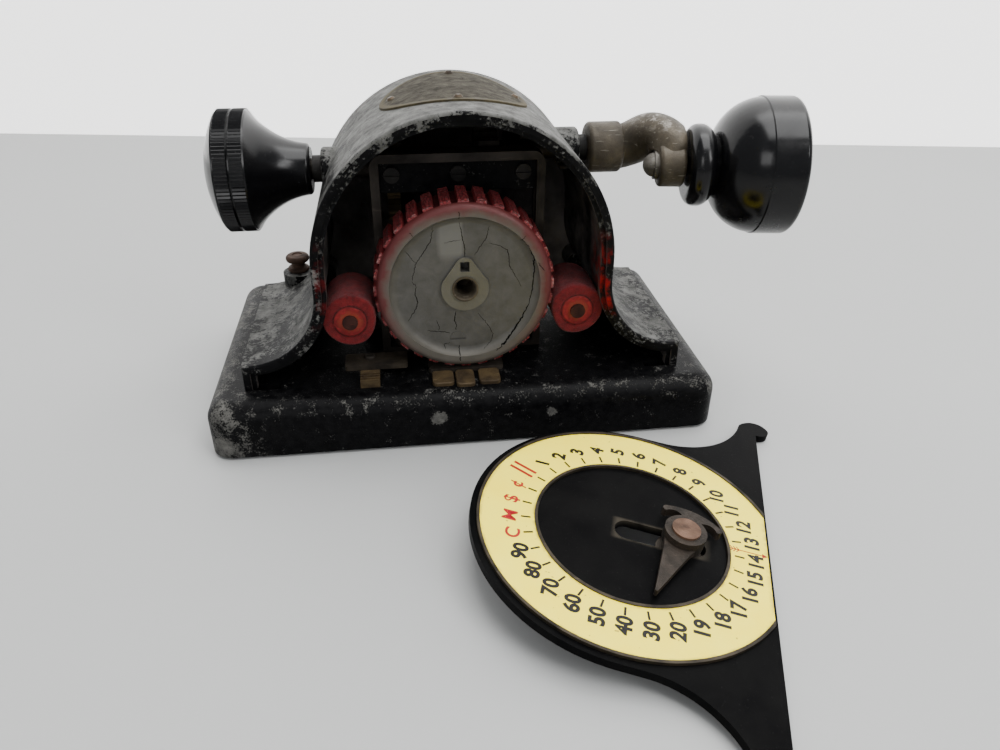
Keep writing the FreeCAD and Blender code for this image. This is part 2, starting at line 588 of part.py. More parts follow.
knob = turned_x(
    SHAFT_Y,
    KNOB_Z,
    (-55.8, SHAFT_RADIUS),
    (-55.8, 8.0),
    ((-56.3, 9.5), (-57.6, 10.0)),
    ((-65.0, 12.0), (-72.0, 16.2)),
    ((-75.5, 19.4), (-77.6, 22.3)),
    (-78.2, 22.6),
    (-88.6, 22.6),
    (-88.6, SHAFT_RADIUS),
)
for x0, x1 in ((-82.9, -78.2), (-88.6, -83.9)):
    band = milled_band(x0, x1, SHAFT_Y, KNOB_Z, 23.1, 100)
    knob = knob.fuse(band.cut(rod_x(-90, -70, SHAFT_Y, KNOB_Z, 12)))
knob = knob.cut(rod_x(-83.9, -82.9, SHAFT_Y, KNOB_Z, 24).cut(rod_x(-84, -82, SHAFT_Y, KNOB_Z, 21.6)))
save("feed_knob", knob.removeSplitter())
cap = turned_x(
    SHAFT_Y,
    KNOB_Z,
    (-88.6, 0.0),
    (-88.6, 22.2),
    (-89.4, 22.2),
    (dome_point(-95.6, -89.4, 22.2), (-95.6, 0.0)),
)
save("feed_knob_cap", cap)
save("feed_shaft", rod_x(-88.6, -13.0, SHAFT_Y, KNOB_Z, SHAFT_RADIUS))

# Crank: a bronze casting with a round swan-necked arm between its hub and the pin boss
def ring_at(point, along, radius):
    return Part.Wire([Part.Circle(point, along, radius).toShape()])


PIVOT = Vector(82.0, HANDLE_Y, HANDLE_Z)


def skewed(shape):
    """Turn a piece made along X to the handle pin's direction, a little towards the front."""
    shape = shape.copy()
    shape.rotate(PIVOT, Z_AXIS, -HANDLE_YAW)
    return shape


stations = (
    ((64.0, -8.0, 99.9), (1.0, -0.05, 0.10), 9.3),
    ((71.5, -9.6, 101.2), (1.0, -0.35, 0.40), 8.7),
    ((78.6, -15.6, 105.8), (0.72, -0.75, 0.30), 8.5),
    ((82.4, -22.8, 104.9), (0.30, -0.90, -0.45), 8.3),
    ((82.4, -29.5, 98.6), (0.0, -0.75, -0.75), 7.6),
)
arm = Part.makeLoft([ring_at(Vector(*p), Vector(*d), r) for p, d, r in stations], True)
hub = rod_x(53.4, 67.4, SHAFT_Y, CRANK_Z, 9.95)
hub = hub.makeFillet(1.6, [e for e in hub.Edges if abs(e.BoundBox.XMax - e.BoundBox.XMin) < 1e-6])
boss = rod_x(77.0, 87.0, HANDLE_Y, HANDLE_Z, 8.2)
boss = boss.makeFillet(1.5, [e for e in boss.Edges if abs(e.BoundBox.XMax - e.BoundBox.XMin) < 1e-6])
crank = hub.fuse(arm).fuse(skewed(boss))
crank = crank.cut(rod_x(50, 66, SHAFT_Y, CRANK_Z, SHAFT_RADIUS))
crank = crank.cut(skewed(rod_x(70, 90, HANDLE_Y, HANDLE_Z, 3.5)))
crank = crank.cut(skewed(rod_x(66, 77, HANDLE_Y, HANDLE_Z, 5.7)))
crank = crank.cut(skewed(rod_x(87, 100, HANDLE_Y, HANDLE_Z, 20)))
crank = crank.cut(rod_z(80, 99, 61, SHAFT_Y, 1.5))
save("crank_arm", crank.removeSplitter())
save("crank_set_screw", rod_z(90.2, 95.4, 61, SHAFT_Y, 1.5))
save("crank_shaft", rod_x(7.0, 66.0, SHAFT_Y, CRANK_Z, SHAFT_RADIUS))
pinion = spur_gear(RACK_X - 0.5, RACK_X + 8.5, SHAFT_Y, CRANK_Z, PINION_TEETH, math.pi, SHAFT_RADIUS)
save("crank_pinion", pinion)
HANDLE_END = 127.6
pin = turned_x(
    HANDLE_Y,
    HANDLE_Z,
    (71.4, 0.0),
    (dome_point(71.4, 75.4, 4.6), (75.4, 4.6)),
    (75.4, 5.4),
    (77.0, 5.4),
    (77.0, 3.5),
    (HANDLE_END - 1.5, 3.5),
    (HANDLE_END - 1.5, 5.4),
    (HANDLE_END + 0.2, 5.4),
    (HANDLE_END + 0.6, 4.9),
    (HANDLE_END + 0.6, 0.0),
)
save("handle_pin", skewed(pin))

# Handle knob: a turned spool that spins on the pin
handle = turned_x(
    HANDLE_Y,
    HANDLE_Z,
    (87.6, 3.6),
    (87.6, 11.2),
    ((88.9, 14.3), (92.1, 15.4)),
    ((95.5, 14.4), (97.2, 11.9)),
    (98.0, 11.6),
    ((103.6, 20.6), (113.9, 25.3)),
    (114.3, 25.7),
    (125.6, 25.7),
    ((126.9, 25.1), (HANDLE_END, 23.8)),
    (HANDLE_END, 5.8),
    (HANDLE_END - 1.8, 5.8),
    (HANDLE_END - 1.8, 3.6),
)
save("handle_knob", skewed(handle))

# Dial plate, laid on the table in front: drawn flat about the dial's centre, then placed
turn = math.radians(DIAL_TURN)
tilt = math.radians(DIAL_TILT)
right = Vector(math.cos(turn), math.sin(turn), 0)
up = Vector(-math.sin(turn) * math.cos(tilt), math.cos(turn) * math.cos(tilt), math.sin(tilt))
face = right.cross(up)
HOOK_TIP = 50.5
DIAL_Z = HOOK_TIP * math.sin(tilt) + DIAL_THICK * math.cos(tilt)
lay = Matrix(
    right.x, up.x, face.x, DIAL_X,
    right.y, up.y, face.y, DIAL_Y,
    right.z, up.z, face.z, DIAL_Z,
    0, 0, 0, 1,
)


def laid(shape):
    return shape.transformed(lay)


EDGE = -45.2
PLATE_ARCH = 52.8
PLATE_FLARE = FLARE_X - PLATE_ARCH
FLARE_V = FLARE_Z - ARCH_CENTRE


def plate_outline(w):
    middle = (FLARE_X - PLATE_FLARE * math.cos(0.6), FLARE_V - PLATE_FLARE * math.sin(0.6))
    toe = (78.5, FLARE_V - math.sqrt(PLATE_FLARE ** 2 - (FLARE_X - 78.5) ** 2))
    return path(
        plan(w),
        (-74.0, EDGE),
        ((-75.6, EDGE - 4.4), (-78.4, -HOOK_TIP)),
        ((-81.6, EDGE - 3.0), (-82.2, EDGE + 2.0)),
        ((-81.0, -41.0), (-toe[0], toe[1])),
        ((-middle[0], middle[1]), (-PLATE_ARCH, FLARE_V)),
        (-PLATE_ARCH, 0),
        ((0, PLATE_ARCH), (PLATE_ARCH, 0)),
        (PLATE_ARCH, FLARE_V),
        (middle, toe),
        ((81.0, -41.0), (82.2, EDGE + 2.0)),
        ((81.6, EDGE - 3.0), (78.4, -HOOK_TIP)),
        ((75.6, EDGE - 4.4), (74.0, EDGE)),
    )


SLOT_HALF = 4.25
dial_plate = Part.Face(plate_outline(-DIAL_THICK)).extrude(Vector(0, 0, DIAL_THICK))
slot = path(
    plan(-10),
    (-SLOT_HALF, 1.35),
    (-SLOT_HALF, -20),
    ((0, -20 - SLOT_HALF), (SLOT_HALF, -20)),
    (SLOT_HALF, 1.35),
    ((0, 1.35 + SLOT_HALF), (-SLOT_HALF, 1.35)),
)
dial_plate = dial_plate.cut(Part.Face(slot).extrude(Vector(0, 0, 20)))
save("dial_plate", laid(dial_plate))

RING_INNER = 32.0
RING_OUTER = 49.7


def flat_ring(inner, outer, w0, w1):
    """Ring on the dial's face, cut off along the plate's straight edge."""
    ring = rod_z(w0, w1, 0, 0, outer).cut(rod_z(w0 - 1, w1 + 1, 0, 0, inner))
    return ring.cut(block(-80, 80, -80, EDGE + 1.0, w0 - 1, w1 + 1))


save("dial_ring", laid(flat_ring(RING_INNER, RING_OUTER, 0, 0.7)))
bezels = [flat_ring(r, r + 1.0, 0, 1.1) for r in (RING_INNER - 1.0, RING_OUTER)]
save("dial_bezels", *[laid(bezel) for bezel in bezels])

# Pointer: pressed steel with a tapered arm and two curled grips, on a stud through the slot
POINT_LIFT = 1.5
POINT_THICK = 2.2
aim = math.radians(163.5)
hub_r = 6.8
flat_pointer = path(
    plan(POINT_LIFT),
    (2.0, 5.9),
    (7.6, 4.2),
    (27.2, 0.5),
    ((27.8, 0), (27.2, -0.5)),
    (7.6, -4.2),
    (2.0, -5.9),
)
pointer = Part.Face(flat_pointer).extrude(Vector(0, 0, POINT_THICK))
tail = path(
    plan(POINT_LIFT),
    (-5, 2.6),
    (-7.6, 2.8),
    ((-9.0, 4.6), (-7.4, 8.6)),
    ((-8.2, 10.0), (-9.8, 9.4)),
    ((-12.2, 0), (-9.8, -9.4)),
    ((-8.2, -10.0), (-7.4, -8.6)),
    ((-9.0, -4.6), (-7.6, -2.8)),
    (-5, -2.6),
)
pointer = pointer.fuse(Part.Face(tail).extrude(Vector(0, 0, POINT_THICK + 0.6)))
pointer = pointer.fuse(rod_z(POINT_LIFT, POINT_LIFT + 4.6, 0, 0, hub_r))
pointer = pointer.cut(rod_z(-5, 20, 0, 0, 3.2)).removeSplitter()
stud_reach = (DIAL_Z + POINTER_V * math.sin(tilt)) / math.cos(tilt)
stud = rod_z(-stud_reach + 0.1, POINT_LIFT + 4.9, 0, 0, 3.2)
stud = stud.fuse(rod_z(POINT_LIFT + 4.6, POINT_LIFT + 5.4, 0, 0, 4.6)).removeSplitter()
collar = rod_z(-DIAL_THICK - 2.4, -DIAL_THICK - 0.3, 0, 0, 7.5).cut(rod_z(-20, 20, 0, 0, 3.25))
stud_bore = rod_z(-20, 20, 0, 0, 3.25)
collar = collar.fuse(rod_z(-DIAL_THICK - 0.3, POINT_LIFT - 0.4, 0, 0, SLOT_HALF - 0.35).cut(stud_bore))
collar = collar.fuse(rod_z(0.3, POINT_LIFT - 0.4, 0, 0, 6.4).cut(stud_bore)).removeSplitter()


def on_dial(shape):
    shape = shape.copy()
    shape.rotate(Vector(0, 0, 0), Z_AXIS, math.degrees(aim))
    shape.translate(Vector(0, POINTER_V, 0))
    return laid(shape)


save("pointer", on_dial(pointer))
save("pointer_stud", on_dial(stud))
save("pointer_slider", on_dial(collar))
print("dial centre height", round(DIAL_Z, 3), "idler", round(IDLER_Z, 3), "roller", round(ROLLER_Z, 3))
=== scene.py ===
import bpy
import numpy as np
from mathutils import Matrix, Vector


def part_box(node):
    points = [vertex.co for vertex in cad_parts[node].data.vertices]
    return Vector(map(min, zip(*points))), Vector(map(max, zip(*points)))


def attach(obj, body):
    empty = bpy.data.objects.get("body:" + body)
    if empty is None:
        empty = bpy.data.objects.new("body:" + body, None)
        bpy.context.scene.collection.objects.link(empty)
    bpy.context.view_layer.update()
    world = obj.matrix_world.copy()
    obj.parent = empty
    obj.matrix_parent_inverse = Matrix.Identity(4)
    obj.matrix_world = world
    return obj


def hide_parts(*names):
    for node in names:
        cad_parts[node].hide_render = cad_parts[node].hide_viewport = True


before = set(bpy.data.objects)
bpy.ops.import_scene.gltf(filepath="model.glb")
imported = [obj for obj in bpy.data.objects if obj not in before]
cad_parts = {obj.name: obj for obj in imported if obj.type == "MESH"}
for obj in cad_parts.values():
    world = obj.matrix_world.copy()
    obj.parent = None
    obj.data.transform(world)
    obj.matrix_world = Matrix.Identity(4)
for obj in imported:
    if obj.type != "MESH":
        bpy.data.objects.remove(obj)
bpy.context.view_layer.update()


# Base: one hollow iron casting under black stoving enamel, which has chipped to bare grey
# metal in fine specks along the front shoulder, at the left corner and over the deck.
def put(tree, kind, settings=None, **sockets):
    """Adds one shader node. Settings are its properties; sockets are its inputs, by name or, as _0, by
    number."""
    made = tree.nodes.new(kind)
    for key, value in (settings or {}).items():
        setattr(made, key, value)
    for key, value in sockets.items():
        socket = made.inputs[int(key[1:])] if key[0] == "_" else made.inputs[key.replace("_", " ")]
        if isinstance(value, bpy.types.NodeSocket):
            tree.links.new(value, socket)
        else:
            socket.default_value = value
    return made


def maths(tree, operation, *values):
    """One Math node; returns its result."""
    sockets = {f"_{i}": value for i, value in enumerate(values)}
    return put(tree, "ShaderNodeMath", {"operation": operation}, **sockets).outputs[0]


def times(tree, *values):
    """Product of several values."""
    result = values[0]
    for value in values[1:]:
        result = maths(tree, "MULTIPLY", result, value)
    return result


def most(tree, *values):
    """Largest of several values."""
    result = values[0]
    for value in values[1:]:
        result = maths(tree, "MAXIMUM", result, value)
    return result


def ramp(tree, value, low, high, start=0.0, end=1.0):
    """Straight-line ramp of a value from low..high to start..end, held at both ends."""
    limits = {"From_Min": low, "From_Max": high, "To_Min": start, "To_Max": end}
    return put(tree, "ShaderNodeMapRange", Value=value, **limits).outputs[0]


def tint(tree, share, first, second):
    """Colour between first and second by share."""
    return put(tree, "ShaderNodeMix", {"data_type": "RGBA"}, _0=share, _6=first, _7=second).outputs[2]


def noise(tree, where, scale, detail=4.0, roughness=0.6, distortion=0.0):
    """Fractal noise, about 0.5 in the middle."""
    made = put(tree, "ShaderNodeTexNoise", Vector=where, Scale=scale, Detail=detail, Roughness=roughness)
    made.inputs["Distortion"].default_value = distortion
    return made.outputs[0]


def parts(tree, vector):
    """The three numbers of a vector."""
    return put(tree, "ShaderNodeSeparateXYZ", Vector=vector).outputs


def rgb(red, green, blue):
    """Colour with full cover."""
    return (red, green, blue, 1.0)


def surface(name, shine=0.5):
    """New material: returns it with its tree, its Principled shader and its Object coordinates."""
    material = bpy.data.materials.new(name)
    material.use_nodes = True
    tree = material.node_tree
    shader = tree.nodes["Principled BSDF"]
    shader.inputs["Specular IOR Level"].default_value = shine
    return material, tree, shader, tree.nodes.new("ShaderNodeTexCoord").outputs["Object"]


def join(tree, shader, **sockets):
    """Links values to the shader's own sockets."""
    for key, value in sockets.items():
        tree.links.new(value, shader.inputs[key.replace("_", " ")])


def relief(tree, shader, height, depth, strength=1.0):
    """Bump from a height, in metres of depth."""
    bump = put(tree, "ShaderNodeBump", Strength=strength, Distance=depth, Height=height)
    tree.links.new(bump.outputs[0], shader.inputs["Normal"])


def dress(material, *nodes):
    """Gives CAD nodes this material."""
    for name in nodes:
        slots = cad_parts[name].data.materials
        slots.clear()
        slots.append(material)


def new_group(name, inputs, outputs):
    """Empty node group with these sockets; returns it, its inputs by name and its output node."""
    group = bpy.data.node_groups.new(name, "ShaderNodeTree")
    for label, kind in inputs:
        group.interface.new_socket(label, in_out="INPUT", socket_type="NodeSocket" + kind)
    for label in outputs:
        group.interface.new_socket(label, in_out="OUTPUT", socket_type="NodeSocketFloat")
    return group, group.nodes.new("NodeGroupInput").outputs, group.nodes.new("NodeGroupOutput").inputs


def use_group(tree, group, **sockets):
    """One instance of a node group; returns its outputs."""
    made = tree.nodes.new("ShaderNodeGroup")
    made.node_tree = group
    for key, value in sockets.items():
        if isinstance(value, bpy.types.NodeSocket):
            tree.links.new(value, made.inputs[key])
        else:
            made.inputs[key].default_value = value
    return made.outputs


def chip_group():
    """Ragged chips of paint, more of them where Cover is higher, with slow grime beside them."""
    sockets = (("Place", "Vector"), ("Cover", "Float"), ("Fineness", "Float"))
    group, given, result = new_group("paint_chips", sockets, ("Bare", "Grime", "Pits"))
    place, fineness = given["Place"], given["Fineness"]
    broad = noise(group, place, times(group, fineness, 60.0), 5.0, 0.62, 0.3)
    fine = noise(group, place, times(group, fineness, 420.0), 6.0, 0.72)
    total = maths(group, "ADD", times(group, broad, 0.5), times(group, fine, 0.5))
    total = maths(group, "ADD", total, given["Cover"])
    group.links.new(ramp(group, total, 0.59, 0.64), result["Bare"])
    group.links.new(noise(group, place, times(group, fineness, 110.0), 6.0, 0.65), result["Grime"])
    pits = noise(group, place, times(group, fineness, 620.0), 3.0, 0.6)
    group.links.new(ramp(group, pits, 0.60, 0.68), result["Pits"])
    return group


paint_chips = chip_group()
ENAMEL_BLACK = rgb(0.0012, 0.0012, 0.0015)
ENAMEL_FADED = rgb(0.0050, 0.0050, 0.0053)
CHIP_DEPTH = 0.00014


def enamel(name, cover_rule, bare, dull, fineness, gloss, stain_rule=None):
    """Black enamel over grey metal; cover_rule(tree, place) says how much of it is worn away there, and
    stain_rule(tree, place, body) may change its colour."""
    material, tree, shader, place = surface(name, 0.06)
    cover = cover_rule(tree, place)
    worn, grime, pits = use_group(tree, paint_chips, Place=place, Cover=cover, Fineness=fineness)
    paint = tint(tree, ramp(tree, grime, 0.38, 0.72), ENAMEL_BLACK, ENAMEL_FADED)
    metal = tint(tree, ramp(tree, grime, 0.34, 0.68), bare, dull)
    metal = tint(tree, times(tree, pits, 0.6), metal, ENAMEL_FADED)
    body = tint(tree, worn, paint, metal)
    if stain_rule:
        body = stain_rule(tree, place, body)
    coat = ramp(tree, grime, 0.3, 0.75, gloss, gloss + 0.2)
    join(
        tree,
        shader,
        Base_Color=body,
        Roughness=maths(tree, "ADD", coat, times(tree, worn, 0.2)),
        Metallic=times(tree, worn, 0.15),
    )
    hollow = maths(tree, "ADD", worn, times(tree, pits, 0.4))
    height = maths(tree, "SUBTRACT", times(tree, grime, 0.6), hollow)
    relief(tree, shader, height, CHIP_DEPTH, 0.7)
    return material


def vectors(tree, operation, first, second):
    """One Vector Math node; returns its outputs."""
    return put(tree, "ShaderNodeVectorMath", {"operation": operation}, _0=first, _1=second).outputs


def spot(tree, place, centre, radius, most_cover):
    """Cover that falls from most_cover at the centre to nothing at the radius."""
    gap = vectors(tree, "DISTANCE", place, centre)["Value"]
    return ramp(tree, gap, radius, 0.0, 0.0, most_cover)


# Each front chip's centre, radius and cover.
FRONT_CHIPS = (
    ((-0.0122, -0.0686, 0.0134), 0.0042, 0.34),
    ((0.0318, -0.0686, 0.0131), 0.0030, 0.30),
    ((-0.0940, -0.0665, 0.0055), 0.0095, 0.26),
)


def base_wear(tree, place):
    """Most along the front shoulder and at the front corners, a little all over the deck, and in the
    larger chips on the front."""
    x, y, z = parts(tree, place)
    chips = most(tree, *[spot(tree, place, *chip) for chip in FRONT_CHIPS])
    shoulder = times(tree, ramp(tree, z, 0.0150, 0.0205), ramp(tree, y, -0.0590, -0.0640), 0.060)
    corner = times(tree, ramp(tree, x, -0.070, -0.098), ramp(tree, y, -0.040, -0.064), 0.120)
    right = times(tree, ramp(tree, x, 0.084, 0.097), ramp(tree, z, 0.012, 0.019), 0.075)
    left = times(tree, ramp(tree, x, -0.087, -0.094), ramp(tree, z, 0.013, 0.019), 0.105)
    deck = times(tree, ramp(tree, z, 0.0215, 0.0224), 0.012)
    return most(tree, shoulder, corner, right, left, deck, chips)


BARE_IRON = rgb(0.120, 0.117, 0.107)
DULL_IRON = rgb(0.050, 0.049, 0.046)
dress(enamel("enamel_base", base_wear, BARE_IRON, DULL_IRON, 3.4, 0.30), "base_casting")


# Felt under the base: one sheet of green baize, cut a little smaller than the base, glued to its
# rim all round and pressed flat by the weight; only its frayed edge shows as a dark line.
FELT_X, FELT_FRONT, FELT_REAR, FELT_THICK = 0.0985, -0.0671, 0.0485, 0.0012
FELT_CORNER = 0.0075
FELT_FRAY = 0.0035
CORNER_POINTS, RUN_POINTS = 12, 9
BAIZE_DARK = rgb(0.006, 0.012, 0.008)
BAIZE_PALE = rgb(0.020, 0.036, 0.024)


def new_piece(name, points, faces):
    """New mesh object at the origin, from an array of points in metres and the faces between them."""
    mesh = bpy.data.meshes.new(name)
    mesh.from_pydata(points.tolist(), [], faces)
    made = bpy.data.objects.new(name, mesh)
    bpy.context.scene.collection.objects.link(made)
    return made


def baize_sheet():
    """Closed thin slab over a rectangle with round corners: corner arcs joined by straight runs, each
    point of the edge drawn in by a small random fray, the same above and below."""
    half_x = FELT_X - FELT_CORNER
    half_y = (FELT_REAR - FELT_FRONT) / 2 - FELT_CORNER
    arc = np.linspace(0, np.pi / 2, CORNER_POINTS, endpoint=False)
    bends = []
    for quarter, (sign_x, sign_y) in enumerate(((1, 1), (-1, 1), (-1, -1), (1, -1))):
        turn = arc + quarter * np.pi / 2
        bend_x = sign_x * half_x + FELT_CORNER * np.cos(turn)
        bend_y = sign_y * half_y + FELT_CORNER * np.sin(turn)
        bends.append(np.stack([bend_x, bend_y], 1))
    outline = np.concatenate(bends)
    steps = np.linspace(0, 1, RUN_POINTS, endpoint=False)
    following = np.roll(outline, -1, 0)
    edge = (outline[:, None] + steps[None, :, None] * (following - outline)[:, None]).reshape(-1, 2)
    fray = 1 - np.random.default_rng(3).uniform(0, FELT_FRAY, len(edge))
    edge = edge * fray[:, None] + [0, (FELT_FRONT + FELT_REAR) / 2]
    count = len(edge)
    top = np.column_stack([edge, np.full(count, FELT_THICK)])
    bottom = np.column_stack([edge, np.zeros(count)])
    ring = np.arange(count)
    sides = np.stack([ring, (ring + 1) % count, (ring + 1) % count + count, ring + count], 1)
    faces = [list(range(count, 2 * count)), list(range(count))[::-1]] + sides.tolist()
    return new_piece("baize_sheet", np.concatenate([bottom, top]), faces)


def baize():
    """Green wool: a fine noise of fibres gives both its colour and its nap."""
    material, tree, shader, place = surface("baize", 0.1)
    fibre = noise(tree, place, 1800.0, 3.0, 0.7)
    join(tree, shader, Base_Color=tint(tree, fibre, BAIZE_DARK, BAIZE_PALE))
    shader.inputs["Roughness"].default_value = 0.95
    relief(tree, shader, fibre, 0.0003)
    return material


felt_sheet = baize_sheet()
felt_sheet.data.materials.append(baize())
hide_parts("felt_pad")
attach(felt_sheet, "machine")


# Housing: a thin bell-shaped casting held down by two thumb nuts. Handling has worn the enamel
# off its flanks, feet and crown; inside it is black under dust, paled further by painted fill light, with
# red ink beside the rolls.
BELL_AXIS_Z = 0.02


def facing_out(tree, x, z):
    """1 where the bell's surface faces outwards and 0 inside it, from the normal and the way from the
    axis; also the normal's Y."""
    normal = tree.nodes.new("ShaderNodeNewGeometry").outputs["Normal"]
    nx, ny, nz = parts(tree, normal)
    up = maths(tree, "SUBTRACT", z, BELL_AXIS_Z)
    away = maths(tree, "ADD", times(tree, x, nx), times(tree, up, nz))
    return ramp(tree, away, 0.002, 0.010), ny


def housing_wear(tree, place):
    """Worn where the surface faces outwards, least just behind the front lip; kept inside."""
    x, y, z = parts(tree, place)
    outward, ny = facing_out(tree, x, z)
    low = ramp(tree, z, 0.075, 0.040, 0.085, 0.125)
    crown = ramp(tree, z, 0.092, 0.118, 0.0, 0.14)
    back = ramp(tree, y, -0.0545, -0.0512, -0.06, 0.0)
    flank = times(tree, outward, maths(tree, "ADD", maths(tree, "ADD", low, crown), back))
    lip = times(tree, ramp(tree, ny, -0.5, -0.9), 0.045)
    return most(tree, flank, lip)


# Pale colour inside the arch: partly dust, partly painted fill light.
INNER_DUST_AND_FILL = rgb(0.150, 0.134, 0.126)
SPLASH_RED = rgb(0.20, 0.005, 0.006)


def ink_splash(tree, place, body):
    """Pale dust on the inner walls, paled further as painted fill light, and red ink in streaks on them
    beside the rolls.
    """
    x, y, z = parts(tree, place)
    outward, ny = facing_out(tree, x, z)
    aside = ramp(tree, maths(tree, "ABSOLUTE", x), 0.046, 0.050)
    level = times(tree, ramp(tree, z, 0.046, 0.054), ramp(tree, z, 0.082, 0.066))
    front = ramp(tree, y, -0.030, -0.044)
    streaks = ramp(tree, noise(tree, place, 150.0, 4.0, 0.65), 0.46, 0.60)
    inside = maths(tree, "SUBTRACT", 1.0, outward)
    dust_and_fill = ramp(tree, noise(tree, place, 90.0, 5.0), 0.35, 0.7)
    # Painted fill light with dust: inner walls that do not face the front are lifted towards the pale
    # colour.
    dust = times(tree, inside, dust_and_fill, ramp(tree, ny, -0.8, -0.5))
    body = tint(tree, times(tree, dust, 0.9), body, INNER_DUST_AND_FILL)
    splash = times(tree, inside, aside, level, front, streaks, ramp(tree, x, 0.0, 0.02, 0.25, 0.9))
    return tint(tree, splash, body, SPLASH_RED)


WORN_SHELL = rgb(0.128, 0.127, 0.120)
DULL_SHELL = rgb(0.048, 0.048, 0.045)
shell_enamel = enamel("enamel_housing", housing_wear, WORN_SHELL, DULL_SHELL, 1.7, 0.36, ink_splash)
dress(shell_enamel, "housing_shell")


# Rear cover: a flat steel sheet of the same outline on four screws, in the same enamel, rubbed
# a little all over as on a face that is seldom touched; dust and painted fill light pale its inner side.
def cover_wear(tree, place):
    """A little everywhere, in slow clouds."""
    return ramp(tree, noise(tree, place, 25.0, 2.0), 0.3, 0.8, 0.0, 0.09)


def cover_dust(tree, place, body):
    """Dust and painted fill light: a pale colour on the side that faces into the arch."""
    facing = parts(tree, tree.nodes.new("ShaderNodeNewGeometry").outputs["Normal"])[1]
    # Painted fill light with dust, on the side that faces the front.
    dust_and_fill = ramp(tree, noise(tree, place, 70.0, 5.0), 0.30, 0.70, 0.35, 0.95)
    return tint(tree, times(tree, ramp(tree, facing, -0.4, -0.8), dust_and_fill), body, INNER_DUST_AND_FILL)


cover_enamel = enamel("enamel_cover", cover_wear, WORN_SHELL, DULL_SHELL, 2.0, 0.36, cover_dust)
dress(cover_enamel, "rear_cover")


# Screws and inner steel: turned screws and shafts, drawn bar and bent sheet that carry the works,
# gone dull brown with old oil and light rust.
def drawn_out(tree, place, scale, turn):
    """Coordinates turned and stretched, so that a noise on them runs in lines."""
    return put(tree, "ShaderNodeMapping", Vector=place, Scale=scale, Rotation=turn).outputs[0]


def patina_group():
    """Slow clouds of tarnish, fine grain and thin scratches along the piece."""
    sockets = (("Place", "Vector"), ("Fineness", "Float"))
    group, given, result = new_group("old_patina", sockets, ("Clouds", "Grain", "Scratches"))
    place, fineness = given["Place"], given["Fineness"]
    clouds = noise(group, place, times(group, fineness, 70.0), 5.0, 0.6, 0.4)
    grain = noise(group, place, times(group, fineness, 900.0), 3.0, 0.7)
    along = drawn_out(group, place, (0.12, 1.0, 1.0), (0.3, 0.4, 0.7))
    lines = noise(group, along, times(group, fineness, 700.0), 2.0, 0.5)
    group.links.new(ramp(group, clouds, 0.36, 0.66), result["Clouds"])
    group.links.new(grain, result["Grain"])
    group.links.new(ramp(group, lines, 0.66, 0.72), result["Scratches"])
    return group


old_patina = patina_group()


def tarnished(
    name, clean, dark, bright, metal=0.5, rough=(0.4, 0.7), fineness=1.0, depth=0.00008, lines=0.3
):
    """Metal whose clean colour clouds over to dark, with bright scratches."""
    material, tree, shader, place = surface(name, 0.2)
    clouds, grain, scratches = use_group(tree, old_patina, Place=place, Fineness=fineness)
    body = tint(tree, times(tree, scratches, lines), tint(tree, clouds, clean, dark), bright)
    mixed = maths(tree, "ADD", clouds, times(tree, grain, 0.4))
    join(tree, shader, Base_Color=body, Roughness=ramp(tree, mixed, 0.1, 1.2, *rough))
    shader.inputs["Metallic"].default_value = metal
    relief(tree, shader, maths(tree, "ADD", grain, times(tree, clouds, 0.6)), depth, 0.6)
    return material


dark_steel = tarnished(
    "dark_steel", rgb(0.055, 0.046, 0.037), rgb(0.017, 0.014, 0.012), rgb(0.14, 0.13, 0.115)
)
dress(dark_steel, "rear_cover_screws", "guide_yoke_screws", "carriage_rack_screws", "bracket_screws")
dress(dark_steel, "guide_screw", "crank_set_screw", "ink_arms", "platen_block", "carriage_block")
dress(dark_steel, "carriage_rack", "crank_shaft", "crank_pinion", "feed_shaft", "roller_shaft")
dress(dark_steel, "gear_side_plate", "roller_bracket", "idler_stud", "pointer_slider")


# Name plate: a plain oval of thin sheet brass, bent round the crown and pinned at four points;
# its lacquer has gone and the metal is grey-brown, paler along its rolled rim.
PLATE_MIDDLE, PLATE_ACROSS, PLATE_ALONG = -0.0125, 0.028, 0.0265


def far(tree, across, up):
    """Length of a way with these two sides: the square root of the sum of their squares."""
    return maths(tree, "SQRT", maths(tree, "ADD", times(tree, across, across), times(tree, up, up)))


def plate_brass():
    """Stained brass, paler where an ellipse about the plate's middle comes near its edge."""
    material, tree, shader, place = surface("plate_brass", 0.02)
    x, y = parts(tree, place)[:2]
    stain = noise(tree, place, 190.0, 8.0, 0.75, 0.7)
    across = times(tree, x, 1 / PLATE_ACROSS)
    along = times(tree, maths(tree, "SUBTRACT", y, PLATE_MIDDLE), 1 / PLATE_ALONG)
    rim = ramp(tree, far(tree, across, along), 0.91, 0.96)
    worn = tint(tree, ramp(tree, stain, 0.36, 0.62), rgb(0.050, 0.044, 0.031), rgb(0.016, 0.014, 0.010))
    body = tint(tree, times(tree, rim, ramp(tree, stain, 0.3, 0.6)), worn, rgb(0.080, 0.068, 0.042))
    join(tree, shader, Base_Color=body, Roughness=ramp(tree, stain, 0.3, 0.7, 0.48, 0.7))
    relief(tree, shader, maths(tree, "ADD", stain, times(tree, rim, 1.5)), 0.00016, 0.8)
    return material


dress(plate_brass(), "name_plate")
pin_brass = tarnished(
    "pin_brass", rgb(0.085, 0.062, 0.038), rgb(0.022, 0.017, 0.013), rgb(0.22, 0.18, 0.11)
)
dress(pin_brass, "name_plate_pins")


# Thumb nuts and studs: turned steel, rusted brown all over; the studs stand in the base and the
# nuts clamp the housing's feet.
rust = tarnished(
    "rust",
    rgb(0.055, 0.030, 0.019),
    rgb(0.018, 0.011, 0.008),
    rgb(0.12, 0.08, 0.055),
    metal=0.15,
    rough=(0.6, 0.9),
    fineness=1.6,
    depth=0.0002,
)
dress(rust, "thumb_nut_left", "thumb_nut_right", "foot_studs")


